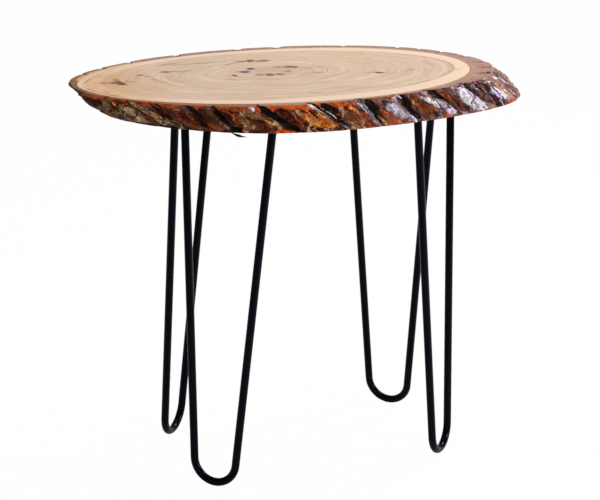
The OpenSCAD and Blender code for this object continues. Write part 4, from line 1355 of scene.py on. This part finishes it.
class TABLE_OT_stage(bpy.types.Operator):
    """Set the floor, the lamps, the background and the camera"""

    bl_idname = "side_table.stage"
    bl_label = "Stage"

    def execute(self, context):
        stage = context.scene.side_table_stage
        shape = bmesh.new()
        bmesh.ops.create_grid(shape, x_segments=1, y_segments=1, size=FLOOR_HALF)
        mesh = bpy.data.meshes.new("floor")
        shape.to_mesh(mesh)
        shape.free()
        mesh.materials.append(floor_finish(stage))
        floor = bpy.data.objects.new("floor", mesh)
        context.scene.collection.objects.link(floor)
        world = bpy.data.worlds.new("studio")
        context.scene.world = world
        world.use_nodes = True
        tree = world.node_tree
        tree.nodes.clear()
        soft = tree.nodes.new("ShaderNodeBackground")
        soft.inputs["Strength"].default_value = DAYLIGHT
        white = tree.nodes.new("ShaderNodeBackground")
        for light in (soft, white):
            light.inputs["Color"].default_value = (1.0, 1.0, 1.0, 1.0)
        output = tree.nodes.new("ShaderNodeOutputWorld")
        shown = white_for_camera(tree, soft.outputs[0], white.outputs[0])
        tree.links.new(shown, output.inputs["Surface"])
        middle = (0, 0, SLAB_LOW.z)
        soft_lamp("key", (1.6, 0.6, 1.6), middle, (0.5, 0.5), 24, (0.95, 0.95, 1.0))
        soft_lamp("side", (2.0, -1.4, 1.05), middle, (0.35, 0.9), 38, (0.93, 0.95, 1.0))
        soft_lamp("fill", (-1.1, -2.2, 1.0), middle, (0.9, 1.2), 7)
        soft_lamp("top", (0, 0.2, 2.2), middle, (1.2, 1.0), 15)
        data = bpy.data.cameras.new("camera")
        data.sensor_width = SENSOR
        data.lens = stage.lens
        data.clip_end = SIGHT
        camera = bpy.data.objects.new("camera", data)
        context.scene.collection.objects.link(camera)
        camera.matrix_world = Matrix.Translation(stage.camera_place) @ camera_turns(
            stage.camera_turn, stage.camera_tip, stage.camera_roll)
        context.scene.camera = camera
        context.scene.view_settings.view_transform = "Standard"
        return {"FINISHED"}


OPERATORS = (TABLE_OT_bark, TABLE_OT_splinter, TABLE_OT_wood, TABLE_OT_legs, TABLE_OT_screws,
             TABLE_OT_stage)
SETTINGS = {"side_table_slice": SliceSettings, "side_table_bark": BarkSettings,
            "side_table_wood": WoodSettings, "side_table_steel": SteelSettings,
            "side_table_stage": StageSettings}


class TABLE_PT_panel(bpy.types.Panel):
    """Lists the table's pieces and their settings"""

    bl_idname = "TABLE_PT_panel"
    bl_label = "Side Table"
    bl_space_type = "VIEW_3D"
    bl_region_type = "UI"
    bl_category = "Side Table"

    def draw(self, context):
        for operator in OPERATORS:
            self.layout.operator(operator.bl_idname)
        for name, group in SETTINGS.items():
            box = self.layout.box()
            box.label(text=group.__doc__)
            for setting in group.__annotations__:
                box.prop(getattr(context.scene, name), setting)


def register():
    for group in SETTINGS.values():
        bpy.utils.register_class(group)
    for kind in (*OPERATORS, TABLE_PT_panel):
        bpy.utils.register_class(kind)
    for name, group in SETTINGS.items():
        setattr(bpy.types.Scene, name, PointerProperty(type=group))


def unregister():
    for name in SETTINGS:
        delattr(bpy.types.Scene, name)
    for kind in (TABLE_PT_panel, *reversed(OPERATORS), *SETTINGS.values()):
        bpy.utils.unregister_class(kind)


def main():
    register()
    bpy.ops.side_table.stage()
    bpy.ops.side_table.bark()
    bpy.ops.side_table.splinter()
    bpy.ops.side_table.wood()
    bpy.ops.side_table.legs()
    bpy.ops.side_table.screws()


if __name__ == "__main__":
    main()
